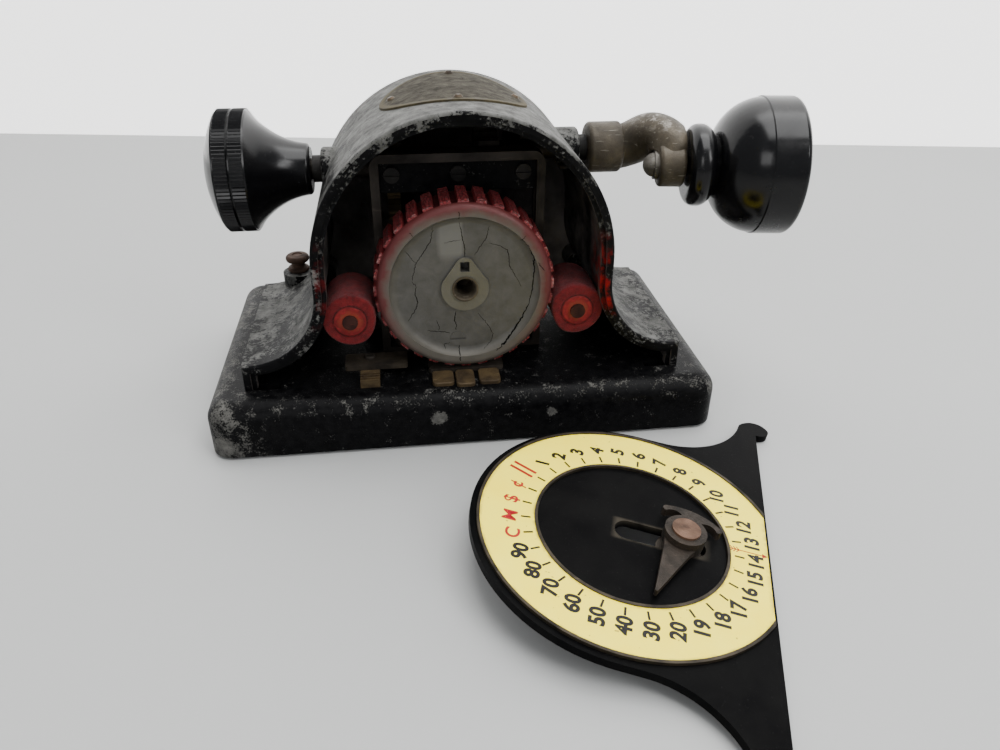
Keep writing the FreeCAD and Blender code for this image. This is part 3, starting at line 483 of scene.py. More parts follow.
# Guide yoke and bearing plate: bent steel strip, rubbed to a brown sheen on top, with a
# black-japanned plate screwed inside its top; black bushes and a bronze one carry the shafts.
yoke_steel = tarnished(
    "yoke_steel", rgb(0.024, 0.019, 0.015), rgb(0.008, 0.006, 0.005), rgb(0.09, 0.075, 0.06), metal=0.2
)
dress(yoke_steel, "guide_yoke")


def japan_wear(tree, place):
    """Very little, in slow clouds."""
    return ramp(tree, noise(tree, place, 60.0, 3.0), 0.4, 0.8, 0.0, 0.03)


dress(enamel("japan_black", japan_wear, DULL_IRON, DULL_SHELL, 2.0, 0.4), "bearing_plate")
black_screw = tarnished(
    "black_screw", rgb(0.020, 0.018, 0.016), rgb(0.006, 0.006, 0.006), rgb(0.16, 0.15, 0.14)
)
dress(black_screw, "bearing_plate_screws", "shaft_bushes")
bush_bronze = tarnished(
    "bush_bronze", rgb(0.09, 0.066, 0.038), rgb(0.03, 0.023, 0.015), rgb(0.2, 0.17, 0.11)
)
dress(bush_bronze, "arbor_bush")


# Type wheel: a die-cast core with a sunk face and a rolled rim, dull brown-grey, its rim stained
# red by ink; the hub round the open arbor is paler, and a round plug shows low on the face.
WHEEL_Z = 0.0592
WHEEL_FRONT = -0.052
HUB_EDGE = 0.0135
SUNK_EDGE = 0.0262
INK_FROM, INK_FULL = 0.0284, 0.0318
INK_STAIN = rgb(0.085, 0.010, 0.011)
WIPED_ZINC = rgb(0.150, 0.147, 0.135)


def wheel_reach(tree, x, z):
    """Distance from the wheel's axis."""
    return far(tree, x, maths(tree, "SUBTRACT", z, WHEEL_Z))


def old_zinc():
    """Clouded grey, by the distance from the axis: a pale hub, a brown rolled rim that ink has stained,
    less so lower down, and one patch above the hub that has been wiped clean."""
    material, tree, shader, place = surface("old_zinc", 0.35)
    x, y, z = parts(tree, place)
    reach = wheel_reach(tree, x, z)
    clouds = noise(tree, place, 120.0, 6.0, 0.65, 0.3)
    grain = noise(tree, place, 1700.0, 3.0, 0.65)
    body = tint(tree, ramp(tree, clouds, 0.34, 0.68), rgb(0.050, 0.048, 0.043), rgb(0.082, 0.079, 0.071))
    wiped = times(
        tree,
        ramp(tree, x, -0.0105, -0.0085),
        ramp(tree, x, 0.0000, -0.0012),
        ramp(tree, z, WHEEL_Z + 0.0105, WHEEL_Z + 0.0140),
        ramp(tree, reach, SUNK_EDGE, SUNK_EDGE - 0.0007),
    )
    body = tint(tree, times(tree, wiped, 0.55), body, WIPED_ZINC)
    raised = ramp(tree, y, WHEEL_FRONT + 0.0019, WHEEL_FRONT + 0.0013)
    hub = times(tree, ramp(tree, reach, HUB_EDGE, HUB_EDGE - 0.0010), raised)
    pale = tint(tree, clouds, rgb(0.075, 0.070, 0.048), rgb(0.125, 0.117, 0.088))
    body = tint(tree, times(tree, hub, 0.75), body, pale)
    edge = ramp(tree, reach, SUNK_EDGE, SUNK_EDGE + 0.0023)
    brown = tint(tree, clouds, rgb(0.062, 0.056, 0.044), rgb(0.120, 0.110, 0.092))
    body = tint(tree, times(tree, edge, 0.8), body, brown)
    low = ramp(tree, z, WHEEL_Z - 0.028, WHEEL_Z - 0.006, 0.06, 1.0)
    spread = maths(tree, "ADD", reach, ramp(tree, clouds, 0.3, 0.7, -0.0013, 0.0013))
    inked = times(tree, ramp(tree, spread, INK_FROM, INK_FULL), low)
    body = tint(tree, times(tree, inked, 0.9), body, INK_STAIN)
    join(tree, shader, Base_Color=body, Roughness=ramp(tree, clouds, 0.3, 0.7, 0.42, 0.62))
    shader.inputs["Metallic"].default_value = 0.2
    relief(tree, shader, maths(tree, "ADD", times(tree, grain, 0.5), clouds), 0.00018, 0.6)
    return material


zinc = old_zinc()
dress(zinc, "wheel_core", "wheel_plug")
arbor_steel = tarnished(
    "arbor_steel", rgb(0.085, 0.070, 0.048), rgb(0.030, 0.024, 0.017), rgb(0.20, 0.18, 0.14)
)
dress(arbor_steel, "wheel_arbor", "arbor_collar")


# Cracks: the old casting has crept and split, in long wandering lines from the rim to the hub.
# They are modelled as thin dark ribbons that lie on the wheel's face and over its rim.
# Each has a width and points across and up from the wheel's middle, in millimetres.
CRACKS = (
    (0.20, ((-1.8, 25.9), (-0.6, 20.1), (0.2, 15.0), (-0.2, 12.1))),
    (0.16, ((9.3, 23.9), (8.0, 19.0), (5.4, 15.6), (3.8, 12.9))),
    (0.15, ((9.1, 17.4), (13.2, 16.2), (16.3, 14.3), (16.9, 8.3), (19.5, 3.3), (21.5, -0.8))),
    (0.26, ((21.1, 19.3), (23.3, 16.8), (25.7, 12.0), (26.3, 6.3), (25.8, -1.9), (24.8, -7.7))),
    (0.36, ((24.8, -7.7), (22.2, -13.6), (19.1, -18.7), (16.0, -22.9), (11.7, -26.7))),
    (0.18, ((-11.3, 24.5), (-12.1, 19.1), (-15.2, 14.6), (-18.0, 10.6), (-19.3, 6.0), (-19.8, 3.2))),
    (0.20, ((-19.8, 3.2), (-18.4, 1.3), (-18.9, -2.1), (-18.0, -5.1), (-19.3, -8.8), (-22.1, -12.9))),
    (0.12, ((-21.8, 15.8), (-18.0, 10.6))),
    (0.10, ((-7.4, 18.1), (-1.3, 19.2))),
    (0.20, ((-3.6, -9.7), (-4.3, -14.0), (-3.5, -15.8), (-4.0, -17.9))),
    (0.22, ((-2.7, -23.8), (-2.6, -28.0), (-2.3, -32.6))),
    (0.15, ((-15.0, -17.3), (-11.6, -18.1), (-8.5, -18.3), (-6.2, -19.1))),
    (0.12, ((-11.4, -13.1), (-10.2, -16.2), (-10.6, -18.0))),
    (0.14, ((-6.3, -23.1), (-8.6, -24.0), (-8.1, -25.8))),
    (0.10, ((4.9, -11.1), (8.4, -15.6), (10.7, -20.2), (10.1, -23.4), (6.9, -26.8))),
    (0.24, ((-18.2, -25.9), (-14.8, -28.5), (-11.0, -30.4), (-6.3, -31.2))),
    (0.20, ((-2.0, 32.0), (-1.8, 27.4))),
    (0.16, ((-20.4, 24.5), (-18.6, 21.7))),
    (0.18, ((27.3, 9.9), (29.7, 6.6), (32.2, 7.0))),
    (0.16, ((22.6, 20.8), (20.6, 18.4))),
    (0.14, ((21.8, -22.6), (23.6, -24.0))),
)
# The wheel's turned profile: distances from its axis and depths behind its front, in millimetres.
RIM_REACH = np.array([0.0, 25.4, 26.6, 27.6, 28.6, 30.4, 31.4, 32.4, 33.2])
RIM_DEPTH = np.array([2.4, 2.4, 2.12, 1.4, 0.0, 0.0, 0.22, 0.7, 2.0])
CRACK_WIDEN, CRACK_SHAKE, CRACK_LIFT = 1.7, 0.13, 0.06
CRACK_POINTS = 2.2


def crack_ribbons():
    """Each crack is a line through its points, with CRACK_POINTS samples to a millimetre, shaken a little.
    Its width swells as a half sine wave, to CRACK_WIDEN times the given one, and varies at random. Its
    depth follows the wheel's turned profile, lifted clear of the metal."""
    generator = np.random.default_rng(11)
    points, faces = [], []
    for width, stops in CRACKS:
        stops = np.array(stops)
        length = np.concatenate([[0], np.cumsum(np.linalg.norm(np.diff(stops, axis=0), axis=1))])
        count = max(8, int(length[-1] * CRACK_POINTS))
        at = np.linspace(0, length[-1], count)
        line = np.stack([np.interp(at, length, stops[:, k]) for k in (0, 1)], 1)
        line[1:-1] += generator.normal(0, CRACK_SHAKE, (count - 2, 2))
        way = np.gradient(line, axis=0)
        side = np.stack([way[:, 1], -way[:, 0]], 1) / np.linalg.norm(way, axis=1)[:, None]
        wave = np.sin(np.pi * np.linspace(0.02, 0.98, count)) ** 0.6
        swell = CRACK_WIDEN * width * (0.25 + 0.75 * wave)
        swell *= generator.uniform(0.6, 1.2, count)
        first = sum(len(p) for p in points)
        for shift in (-1, 1):
            edge = line + shift * swell[:, None] * side / 2
            reach = np.linalg.norm(edge, axis=1)
            depth = np.interp(reach, RIM_REACH, RIM_DEPTH) - CRACK_LIFT
            x, z = edge.T / 1000
            points.append(np.column_stack([x, WHEEL_FRONT + depth / 1000, WHEEL_Z + z]))
        k = first + np.arange(count - 1)
        faces += np.stack([k, k + 1, k + 1 + count, k + count], 1).tolist()
    return new_piece("wheel_cracks", np.concatenate(points), faces)


def crack_dark():
    """Near-black dirt."""
    material, tree, shader, place = surface("crack_dark", 0.05)
    dirt = noise(tree, place, 900.0, 3.0)
    join(tree, shader, Base_Color=tint(tree, dirt, rgb(0.002, 0.002, 0.002), rgb(0.008, 0.007, 0.006)))
    shader.inputs["Roughness"].default_value = 0.9
    return material


cracks = crack_ribbons()
cracks.data.materials.append(crack_dark())
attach(cracks, "type_wheel")


# Type band: one ring of moulded rubber with a bar of type for each figure, soaked in red ink,
# its raised faces cut with a close security grid, with pale painted highlights along their front ends.
def inked_type():
    """Red by the distance from the axis: dark between the bars, clouded on their faces, cut by the edges of
    small cells, with pale painted highlights in patches at the front."""
    material, tree, shader, place = surface("inked_type", 0.35)
    x, y, z = parts(tree, place)
    reach = wheel_reach(tree, x, z)
    face = ramp(tree, reach, 0.0331, 0.0341)
    cells = put(tree, "ShaderNodeTexVoronoi", {"feature": "DISTANCE_TO_EDGE"}, Vector=place, Scale=820.0)
    cut = times(tree, ramp(tree, cells.outputs["Distance"], 0.18, 0.05), face)
    clouds = noise(tree, place, 260.0, 5.0, 0.7)
    red = tint(tree, ramp(tree, clouds, 0.34, 0.66), rgb(0.130, 0.010, 0.012), rgb(0.270, 0.036, 0.038))
    body = tint(tree, ramp(tree, reach, 0.0322, 0.0336), rgb(0.040, 0.004, 0.005), red)
    body = tint(tree, times(tree, cut, 0.8), body, rgb(0.030, 0.003, 0.004))
    # Painted highlight: pale pink in patches on the bars' faces near their front ends.
    front = ramp(tree, y, WHEEL_FRONT + 0.0042, WHEEL_FRONT + 0.0028)
    rubbed = times(tree, front, ramp(tree, clouds, 0.50, 0.60), face)
    body = tint(tree, times(tree, rubbed, 0.65), body, rgb(0.33, 0.19, 0.18))
    join(tree, shader, Base_Color=body, Roughness=ramp(tree, clouds, 0.3, 0.7, 0.35, 0.7))
    relief(tree, shader, maths(tree, "ADD", maths(tree, "SUBTRACT", 1.0, cut), clouds), 0.0005)
    return material


dress(inked_type(), "type_band")


# Ink rolls: thick felt sleeves pushed on wooden cores and soaked in red ink. The felt is fuzzy,
# a little out of round, and pressed in on the inner side, towards the type.
def grid_mesh(name, points):
    """Mesh over a grid of points (rows, columns, xyz) that closes on itself both ways."""
    rows, columns = points.shape[:2]
    a, b = (g.ravel() for g in np.meshgrid(np.arange(rows), np.arange(columns), indexing="ij"))
    c, d = (a + 1) % rows, (b + 1) % columns
    quads = np.stack([a * columns + b, c * columns + b, c * columns + d, a * columns + d], 1)
    made = new_piece(name, points.reshape(-1, 3), quads.tolist())
    made.data.polygons.foreach_set("use_smooth", np.ones(len(quads), bool))
    return made


ROLL_X, ROLL_Z = 0.0439, 0.0475
FELT_OUT, FELT_IN = 0.0105, 0.0065
FELT_ROUND = 0.0012
FELT_FUZZ, FELT_WAVE, FELT_DENT, FELT_SHRINK = 0.00005, 0.00012, 0.0006, 0.00016
FUZZ_LIFT = 0.0001
DENT_LEAN, DENT_FROM = 0.26, 0.75


def felt_sleeve(name, side, front, back):
    """Sleeve about a line along Y: a rounded profile turned through a circle; its radius gains a slow
    wave and a fine fuzz, and loses a shallow dent on its inner side, a little below the middle."""
    turn = np.linspace(0, 2 * np.pi, 180, endpoint=False)
    corner = np.linspace(0, np.pi / 2, 6)
    shoulder = FELT_OUT - FELT_ROUND
    radius = np.concatenate([
        np.linspace(FELT_IN, shoulder, 8)[:-1],
        shoulder + FELT_ROUND * np.sin(corner),
        np.full(34, FELT_OUT),
        shoulder + FELT_ROUND * np.cos(corner),
        np.linspace(shoulder, FELT_IN, 8)[1:],
    ])
    depth = np.concatenate([
        np.full(7, front),
        front + FELT_ROUND * (1 - np.cos(corner)),
        np.linspace(front + FELT_ROUND, back - FELT_ROUND, 36)[1:-1],
        back - FELT_ROUND * (1 - np.sin(corner)),
        np.full(7, back),
    ])
    generator = np.random.default_rng(7 + int(side > 0))
    fuzz = generator.normal(0, FELT_FUZZ, (len(turn), len(radius)))
    wave = FELT_WAVE * np.sin(3 * turn + side)[:, None]
    toward = np.cos(turn - (np.pi if side > 0 else 0) - side * DENT_LEAN)
    dent = FELT_DENT * np.clip(toward - DENT_FROM, 0, None)[:, None] / (1 - DENT_FROM)
    outer = np.clip((radius - FELT_IN) / (FELT_OUT - FELT_IN), 0, 1)[None, :]
    r = radius[None, :] + outer * (wave - dent - FELT_SHRINK + fuzz)
    at_front = np.where(np.abs(depth - front) < 1e-6, 1.0, 0.0)[None, :]
    lift = at_front * outer * (fuzz[:, ::-1] + FUZZ_LIFT)
    x = side * ROLL_X + r * np.cos(turn)[:, None]
    z = ROLL_Z + r * np.sin(turn)[:, None]
    return grid_mesh(name, np.stack([x, depth[None, :] + lift, z], 2)[::-1])


def inked_felt():
    """Clotted red with dark specks, over a nap of fine fibres."""
    material, tree, shader, place = surface("inked_felt", 0.2)
    fibre = noise(tree, place, 2400.0, 3.0, 0.75)
    clots = noise(tree, place, 300.0, 5.0, 0.72)
    red = tint(tree, ramp(tree, clots, 0.32, 0.64), rgb(0.060, 0.0025, 0.0035), rgb(0.165, 0.008, 0.010))
    specks = ramp(tree, noise(tree, place, 800.0, 2.0), 0.62, 0.70)
    body = tint(tree, times(tree, specks, 0.75), red, rgb(0.030, 0.002, 0.003))
    join(tree, shader, Base_Color=body)
    shader.inputs["Roughness"].default_value = 0.85
    shader.inputs["Sheen Weight"].default_value = 0.08
    relief(tree, shader, maths(tree, "ADD", fibre, times(tree, clots, 0.8)), 0.0005)
    return material


felt_red = inked_felt()
for label, side in (("left", -1), ("right", 1)):
    low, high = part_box("ink_felt_" + label)
    sleeve = felt_sleeve("felt_sleeve_" + label, side, low[1], high[1])
    sleeve.data.materials.append(felt_red)
    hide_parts("ink_felt_" + label)
    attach(sleeve, "ink_roll_" + label)


def inked_wood():
    """Clotted red round each roll's axis, orange where worn near the bore, dark in the seam by the felt."""
    material, tree, shader, place = surface("inked_wood", 0.25)
    x, _, z = parts(tree, place)
    across = maths(tree, "SUBTRACT", maths(tree, "ABSOLUTE", x), ROLL_X)
    reach = far(tree, across, maths(tree, "SUBTRACT", z, ROLL_Z))
    clots = noise(tree, place, 420.0, 5.0, 0.7)
    seam = times(tree, ramp(tree, reach, 0.0056, 0.0063), ramp(tree, clots, 0.40, 0.54))
    red = tint(tree, ramp(tree, clots, 0.36, 0.64), rgb(0.090, 0.004, 0.005), rgb(0.220, 0.014, 0.014))
    ragged = maths(tree, "ADD", reach, ramp(tree, clots, 0.3, 0.7, -0.0012, 0.0012))
    bare = ramp(tree, ragged, 0.0046, 0.0030)
    wood = tint(tree, times(tree, bare, 0.5), red, rgb(0.260, 0.060, 0.024))
    join(tree, shader, Base_Color=tint(tree, times(tree, seam, 0.92), wood, rgb(0.016, 0.002, 0.002)))
    shader.inputs["Roughness"].default_value = 0.75
    relief(tree, shader, maths(tree, "SUBTRACT", clots, seam), 0.0004)
    return material


dress(inked_wood(), "ink_core_left", "ink_core_right")
inked_pin = tarnished(
    "inked_pin",
    rgb(0.040, 0.012, 0.008),
    rgb(0.010, 0.003, 0.003),
    rgb(0.12, 0.03, 0.02),
    metal=0.2,
    rough=(0.5, 0.8),
    fineness=2.0,
)
dress(inked_pin, "ink_pins")


# Fingers and side guide: small brass strips on the deck that steer the cheque under the wheel,
# rubbed to dull gold on top and brown at the edges.
finger_brass = tarnished(
    "finger_brass",
    rgb(0.070, 0.048, 0.023),
    rgb(0.026, 0.017, 0.009),
    rgb(0.18, 0.13, 0.07),
    metal=0.15,
    rough=(0.45, 0.7),
    fineness=2.2,
    depth=0.00016,
)
dress(finger_brass, "platen_fingers", "guide_tongue")
guide_steel = tarnished(
    "guide_steel", rgb(0.050, 0.040, 0.028), rgb(0.016, 0.013, 0.010), rgb(0.12, 0.10, 0.08), metal=0.4
)
dress(guide_steel, "guide_plate")


# Feed train: cut brass gears and a moulded rubber roller on steel shafts behind the carriage,
# turned by the left knob to draw the cheque through.
gear_brass = tarnished(
    "gear_brass", rgb(0.13, 0.092, 0.042), rgb(0.045, 0.032, 0.018), rgb(0.26, 0.21, 0.12)
)
dress(gear_brass, "knob_gear", "idler_gear", "roller_gear")


def roller_rubber():
    """Black rubber with clouds of grey dust."""
    material, tree, shader, place = surface("roller_rubber", 0.2)
    dust = noise(tree, place, 240.0, 6.0, 0.7)
    body = tint(tree, ramp(tree, dust, 0.45, 0.75), rgb(0.005, 0.005, 0.005), rgb(0.022, 0.021, 0.020))
    join(tree, shader, Base_Color=body, Roughness=ramp(tree, dust, 0.3, 0.7, 0.55, 0.85))
    relief(tree, shader, dust, 0.0001)
    return material


dress(roller_rubber(), "roller_rubber")


# Knobs: turned and polished black hard rubber, still glossy, with dust in the milling and a few
# pale handling scratches.
def hard_rubber():
    """Near-black, with smeared gloss, specks of dust and drawn-out scratches."""
    material, tree, shader, place = surface("hard_rubber", 0.25)
    smear = noise(tree, place, 60.0, 5.0, 0.6, 0.8)
    along = drawn_out(tree, place, (1.0, 0.15, 0.6), (0.5, 0.2, 0.1))
    lines = ramp(tree, noise(tree, along, 700.0, 2.0), 0.70, 0.75)
    dust = ramp(tree, noise(tree, place, 900.0, 3.0, 0.7), 0.60, 0.78)
    body = tint(tree, times(tree, dust, 0.3), rgb(0.0020, 0.0020, 0.0024), rgb(0.020, 0.019, 0.018))
    body = tint(tree, times(tree, lines, 0.2), body, rgb(0.05, 0.047, 0.045))
    gloss = maths(tree, "ADD", ramp(tree, smear, 0.3, 0.75, 0.12, 0.30), times(tree, dust, 0.12))
    join(tree, shader, Base_Color=body, Roughness=gloss)
    relief(tree, shader, smear, 0.00006, 0.3)
    return material


dress(hard_rubber(), "feed_knob", "feed_knob_cap", "handle_knob")


# Crank: a bronze casting, dark grey-brown with pale painted highlights in patches on the bend, and its
# steel pin, riveted into a round button at the inner end.
# Heights between which the painted highlights on the crank fade in.
HIGHLIGHT_FROM, HIGHLIGHT_FULL = 0.1090, 0.1140


def crank_bronze():
    """Old patina, with pale painted highlights in patches high on the bend, fading in over the two heights
    set above.
    """
    material, tree, shader, place = surface("crank_bronze", 0.25)
    clouds, grain, lines = use_group(tree, old_patina, Place=place, Fineness=1.5)
    z = parts(tree, place)[2]
    patches = ramp(tree, noise(tree, place, 330.0, 6.0, 0.72), 0.50, 0.62)
    # Painted highlight: pale patches on the upper part of the bend.
    highlight = times(tree, ramp(tree, z, HIGHLIGHT_FROM, HIGHLIGHT_FULL), patches)
    body = tint(tree, clouds, rgb(0.062, 0.050, 0.033), rgb(0.026, 0.021, 0.014))
    body = tint(tree, times(tree, lines, 0.5), body, rgb(0.20, 0.185, 0.155))
    body = tint(tree, times(tree, highlight, 0.8), body, rgb(0.30, 0.28, 0.25))
    mixed = maths(tree, "ADD", clouds, grain)
    join(tree, shader, Base_Color=body, Roughness=ramp(tree, mixed, 0.3, 1.5, 0.36, 0.62))
    shader.inputs["Metallic"].default_value = 0.25
    relief(tree, shader, mixed, 0.00016, 0.7)
    return material


dress(crank_bronze(), "crank_arm")
pin_steel = tarnished(
    "pin_steel",
    rgb(0.13, 0.12, 0.105),
    rgb(0.036, 0.032, 0.025),
    rgb(0.34, 0.33, 0.31),
    metal=0.4,
    rough=(0.35, 0.6),
    fineness=2.4,
    depth=0.0004,
    lines=0.6,
)
dress(pin_steel, "handle_pin")


# Dial plate: pressed steel in satin black lacquer, loose, lying on its hooked edge and on the
# stud behind; its slot's edge is rubbed to bare metal.
DIAL_TURN = np.radians(70.6)
DIAL_TILT = np.radians(8.65)
DIAL_X, DIAL_Y = 0.0452, -0.1364
HOOK_TIP, DIAL_THICK = 0.0505, 0.0028
DIAL_Z = HOOK_TIP * np.sin(DIAL_TILT) + DIAL_THICK * np.cos(DIAL_TILT)
DIAL_CENTRE = np.array([DIAL_X, DIAL_Y, DIAL_Z])
DIAL_RIGHT = np.array([np.cos(DIAL_TURN), np.sin(DIAL_TURN), 0.0])
DIAL_LEVEL_UP = np.array([-np.sin(DIAL_TURN), np.cos(DIAL_TURN), 0.0])
DIAL_UP = DIAL_LEVEL_UP * np.cos(DIAL_TILT) + np.array([0.0, 0.0, np.sin(DIAL_TILT)])
DIAL_FACE = np.cross(DIAL_RIGHT, DIAL_UP)
SLOT_NEAR, SLOT_FAR = 0.0044, 0.0054


def dial_place(tree, place):
    """Object coordinates turned into the dial's own u, v and w."""
    shift = vectors(tree, "SUBTRACT", place, tuple(DIAL_CENTRE))[0]
    axes = (DIAL_RIGHT, DIAL_UP, DIAL_FACE)
    return [vectors(tree, "DOT_PRODUCT", shift, tuple(axis))["Value"] for axis in axes]


def satin_lacquer():
    """Smeared black with dust, rubbed to metal on the face within SLOT_FAR of the slot's middle line."""
    material, tree, shader, place = surface("satin_lacquer", 0.02)
    u, v, w = dial_place(tree, place)
    smear = noise(tree, place, 45.0, 5.0, 0.6, 0.6)
    dust = ramp(tree, noise(tree, place, 1100.0, 4.0, 0.75), 0.62, 0.74)
    near = ramp(tree, maths(tree, "ABSOLUTE", u), SLOT_FAR, SLOT_NEAR)
    patches = ramp(tree, smear, 0.42, 0.6)
    rubbed = times(tree, near, patches, ramp(tree, v, 0.0068, 0.0050), ramp(tree, v, -0.026, -0.022))
    rubbed = times(tree, rubbed, ramp(tree, w, -0.0020, -0.0002))
    body = tint(tree, ramp(tree, smear, 0.35, 0.7), rgb(0.0016, 0.0016, 0.0018), rgb(0.0042, 0.0042, 0.0041))
    body = tint(tree, times(tree, dust, 0.2), body, rgb(0.05, 0.05, 0.047))
    body = tint(tree, times(tree, rubbed, 0.45), body, rgb(0.075, 0.064, 0.048))
    join(tree, shader, Base_Color=body, Roughness=ramp(tree, smear, 0.3, 0.7, 0.30, 0.46))
    relief(tree, shader, maths(tree, "ADD", smear, dust), 0.00008, 0.4)
    return material


dress(satin_lacquer(), "dial_plate")


# Dial ring: cream celluloid held between two thin brass rings, browned along its edges and
# flecked; the brass has gone nearly black.
RING_OUT, RING_IN, RING_CUT = 0.0499, 0.0319, -0.0445


def cream_celluloid():
    """Clouded cream, browned in patches near the outer, inner and cut edges, with brown flecks."""
    material, tree, shader, place = surface("cream_celluloid", 0.12)
    u, v = dial_place(tree, place)[:2]
    reach = far(tree, u, v)
    clouds = noise(tree, place, 90.0, 5.0, 0.6)
    flecks = ramp(tree, noise(tree, place, 520.0, 2.0, 0.4), 0.735, 0.76)
    edge = most(
        tree,
        ramp(tree, reach, RING_OUT - 0.0013, RING_OUT),
        ramp(tree, reach, RING_IN + 0.0011, RING_IN),
        ramp(tree, v, RING_CUT + 0.0017, RING_CUT),
    )
    brown = times(tree, edge, ramp(tree, noise(tree, place, 300.0, 4.0), 0.40, 0.62))
    body = tint(tree, ramp(tree, clouds, 0.35, 0.7), rgb(1.0, 0.80, 0.03), rgb(1.0, 0.84, 0.06))
    body = tint(tree, times(tree, brown, 0.7), body, rgb(0.26, 0.16, 0.045))
    body = tint(tree, times(tree, flecks, 0.6), body, rgb(0.20, 0.11, 0.035))
    join(tree, shader, Base_Color=body, Roughness=ramp(tree, clouds, 0.3, 0.7, 0.30, 0.45))
    relief(tree, shader, clouds, 0.00005, 0.3)
    return material


dress(cream_celluloid(), "dial_ring")
bezel_brass = tarnished(
    "bezel_brass",
    rgb(0.040, 0.031, 0.019),
    rgb(0.010, 0.008, 0.006),
    rgb(0.11, 0.09, 0.06),
    metal=0.3,
    rough=(0.45, 0.7),
    fineness=1.8,
)
dress(bezel_brass, "dial_bezels")


# Figures: printed on the ring in black, each with a tick, and the signs, a pair of bars and the
# index arrow in red; every figure stands upright on the plate.
NUMBERS = [*range(1, 21), *range(30, 100, 10)]
LABELS = [str(number) for number in NUMBERS] + ["C", "M", "$", "¢", "="]
FIRST_RED = len(NUMBERS)
TYPE_STEP = np.radians(11.25)
FIRST_LABEL = -29.04
PRINT_LIFT = 0.00074
FIGURE_RADIUS = 0.0400
FIGURE_HEIGHT = 0.0047
CAPITAL_SHARE = 0.72
BOLD_PRINT, THIN_PRINT = 0.00027, 0.00012
TICK_IN, TICK_OUT, TICK_HALF = 0.0333, 0.0364, 0.00036
BAR_IN, BAR_OUT, BAR_HALF, BAR_APART = 0.0378, 0.0468, 0.00055, 0.0013
ARROW_U, ARROW_TAIL, ARROW_TIP, ARROW_HALF = 0.0035, -0.0318, -0.0441, 0.00018
HEAD_WIDE, HEAD_LONG, HEAD_OVERLAP = 0.0010, 0.0018, 0.0005
BARBS = (0.0010, 0.0020, 0.0030)
BARB_WIDE, BARB_LONG, BARB_HALF = 0.0012, 0.0009, 0.00015


def on_dial(flat):
    """Points at u to the right and v up on the dial's face, lifted by the print's height, in metres."""
    return DIAL_CENTRE + flat[:, :1] * DIAL_RIGHT + flat[:, 1:] * DIAL_UP + PRINT_LIFT * DIAL_FACE


def figure_points(text, weight):
    """Flat outline of a label from the built-in type face, made bolder by weight, as points and faces
    about its middle."""
    curve = bpy.data.curves.new("figure", "FONT")
    curve.body = text
    curve.size = FIGURE_HEIGHT / CAPITAL_SHARE
    curve.offset = weight
    curve.resolution_u = 4
    shape = bpy.data.objects.new("figure", curve)
    bpy.context.scene.collection.objects.link(shape)
    bpy.context.view_layer.update()
    mesh = bpy.data.meshes.new_from_object(shape.evaluated_get(bpy.context.evaluated_depsgraph_get()))
    points = np.zeros(len(mesh.vertices) * 3)
    mesh.vertices.foreach_get("co", points)
    points = points.reshape(-1, 3)[:, :2]
    faces = [list(face.vertices) for face in mesh.polygons]
    bpy.data.objects.remove(shape)
    bpy.data.curves.remove(curve)
    bpy.data.meshes.remove(mesh)
    return points - (points.min(0) + points.max(0)) / 2, faces


def bar_points(start, end, half):
    """A bar of even width along a straight line, as points and one face."""
    start, end = np.array(start), np.array(end)
    side = np.array([end[1] - start[1], start[0] - end[0]]) * half / np.linalg.norm(end - start)
    return np.array([start + side, end + side, end - side, start - side])[::-1], [[0, 1, 2, 3]]


def printed(name, shapes, material):
    """One flat mesh of several shapes, laid just above the ring."""
    points, faces, count = [], [], 0
    for shape_points, shape_faces in shapes:
        points.append(shape_points)
        faces += [[i + count for i in face] for face in shape_faces]
        count += len(shape_points)
    made = new_piece(name, on_dial(np.concatenate(points)), faces)
    made.data.materials.append(material)
    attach(made, "dial")


def print_ink(name, colour, worn):
    """Ink that a fine noise has worn towards the colour beneath."""
    material, tree, shader, place = surface(name, 0.2)
    wear = ramp(tree, noise(tree, place, 1500.0, 4.0, 0.7), 0.64, 0.78)
    join(tree, shader, Base_Color=tint(tree, times(tree, wear, 0.35), colour, worn))
    shader.inputs["Roughness"].default_value = 0.5
    relief(tree, shader, wear, 0.00003, 0.4)
    return material


black_shapes, red_shapes = [], []
for k, label in enumerate(LABELS):
    angle = (k + FIRST_LABEL) * TYPE_STEP
    way = np.array([np.sin(angle), np.cos(angle)])
    black_shapes.append(bar_points(way * TICK_IN, way * TICK_OUT, TICK_HALF))
    if label == "=":
        across = np.array([way[1], -way[0]])
        for shift in (-BAR_APART, BAR_APART):
            inner = way * BAR_IN + across * shift
            outer = way * BAR_OUT + across * shift
            red_shapes.append(bar_points(inner, outer, BAR_HALF))
        continue
    red = k >= FIRST_RED
    outline, faces = figure_points(label, THIN_PRINT if red else BOLD_PRINT)
    (red_shapes if red else black_shapes).append((outline + way * FIGURE_RADIUS, faces))
shaft_end = (ARROW_U, ARROW_TIP + HEAD_OVERLAP)
red_shapes.append(bar_points((ARROW_U, ARROW_TAIL), shaft_end, ARROW_HALF))
for barb in BARBS:
    for lean in (-1, 1):
        foot = (ARROW_U, ARROW_TAIL - barb)
        tip = (ARROW_U + lean * BARB_WIDE, ARROW_TAIL - barb + BARB_LONG)
        red_shapes.append(bar_points(foot, tip, BARB_HALF))
head = np.array([[-HEAD_WIDE, HEAD_LONG], [0.0, 0.0], [HEAD_WIDE, HEAD_LONG]]) + [ARROW_U, ARROW_TIP]
red_shapes.append((head, [[0, 1, 2]]))
print_black = print_ink("print_black", rgb(0.0035, 0.003, 0.003), rgb(0.10, 0.075, 0.035))
print_red = print_ink("print_red", rgb(0.33, 0.003, 0.008), rgb(0.55, 0.16, 0.07))
printed("dial_figures", black_shapes, print_black)
printed("dial_signs", red_shapes, print_red)


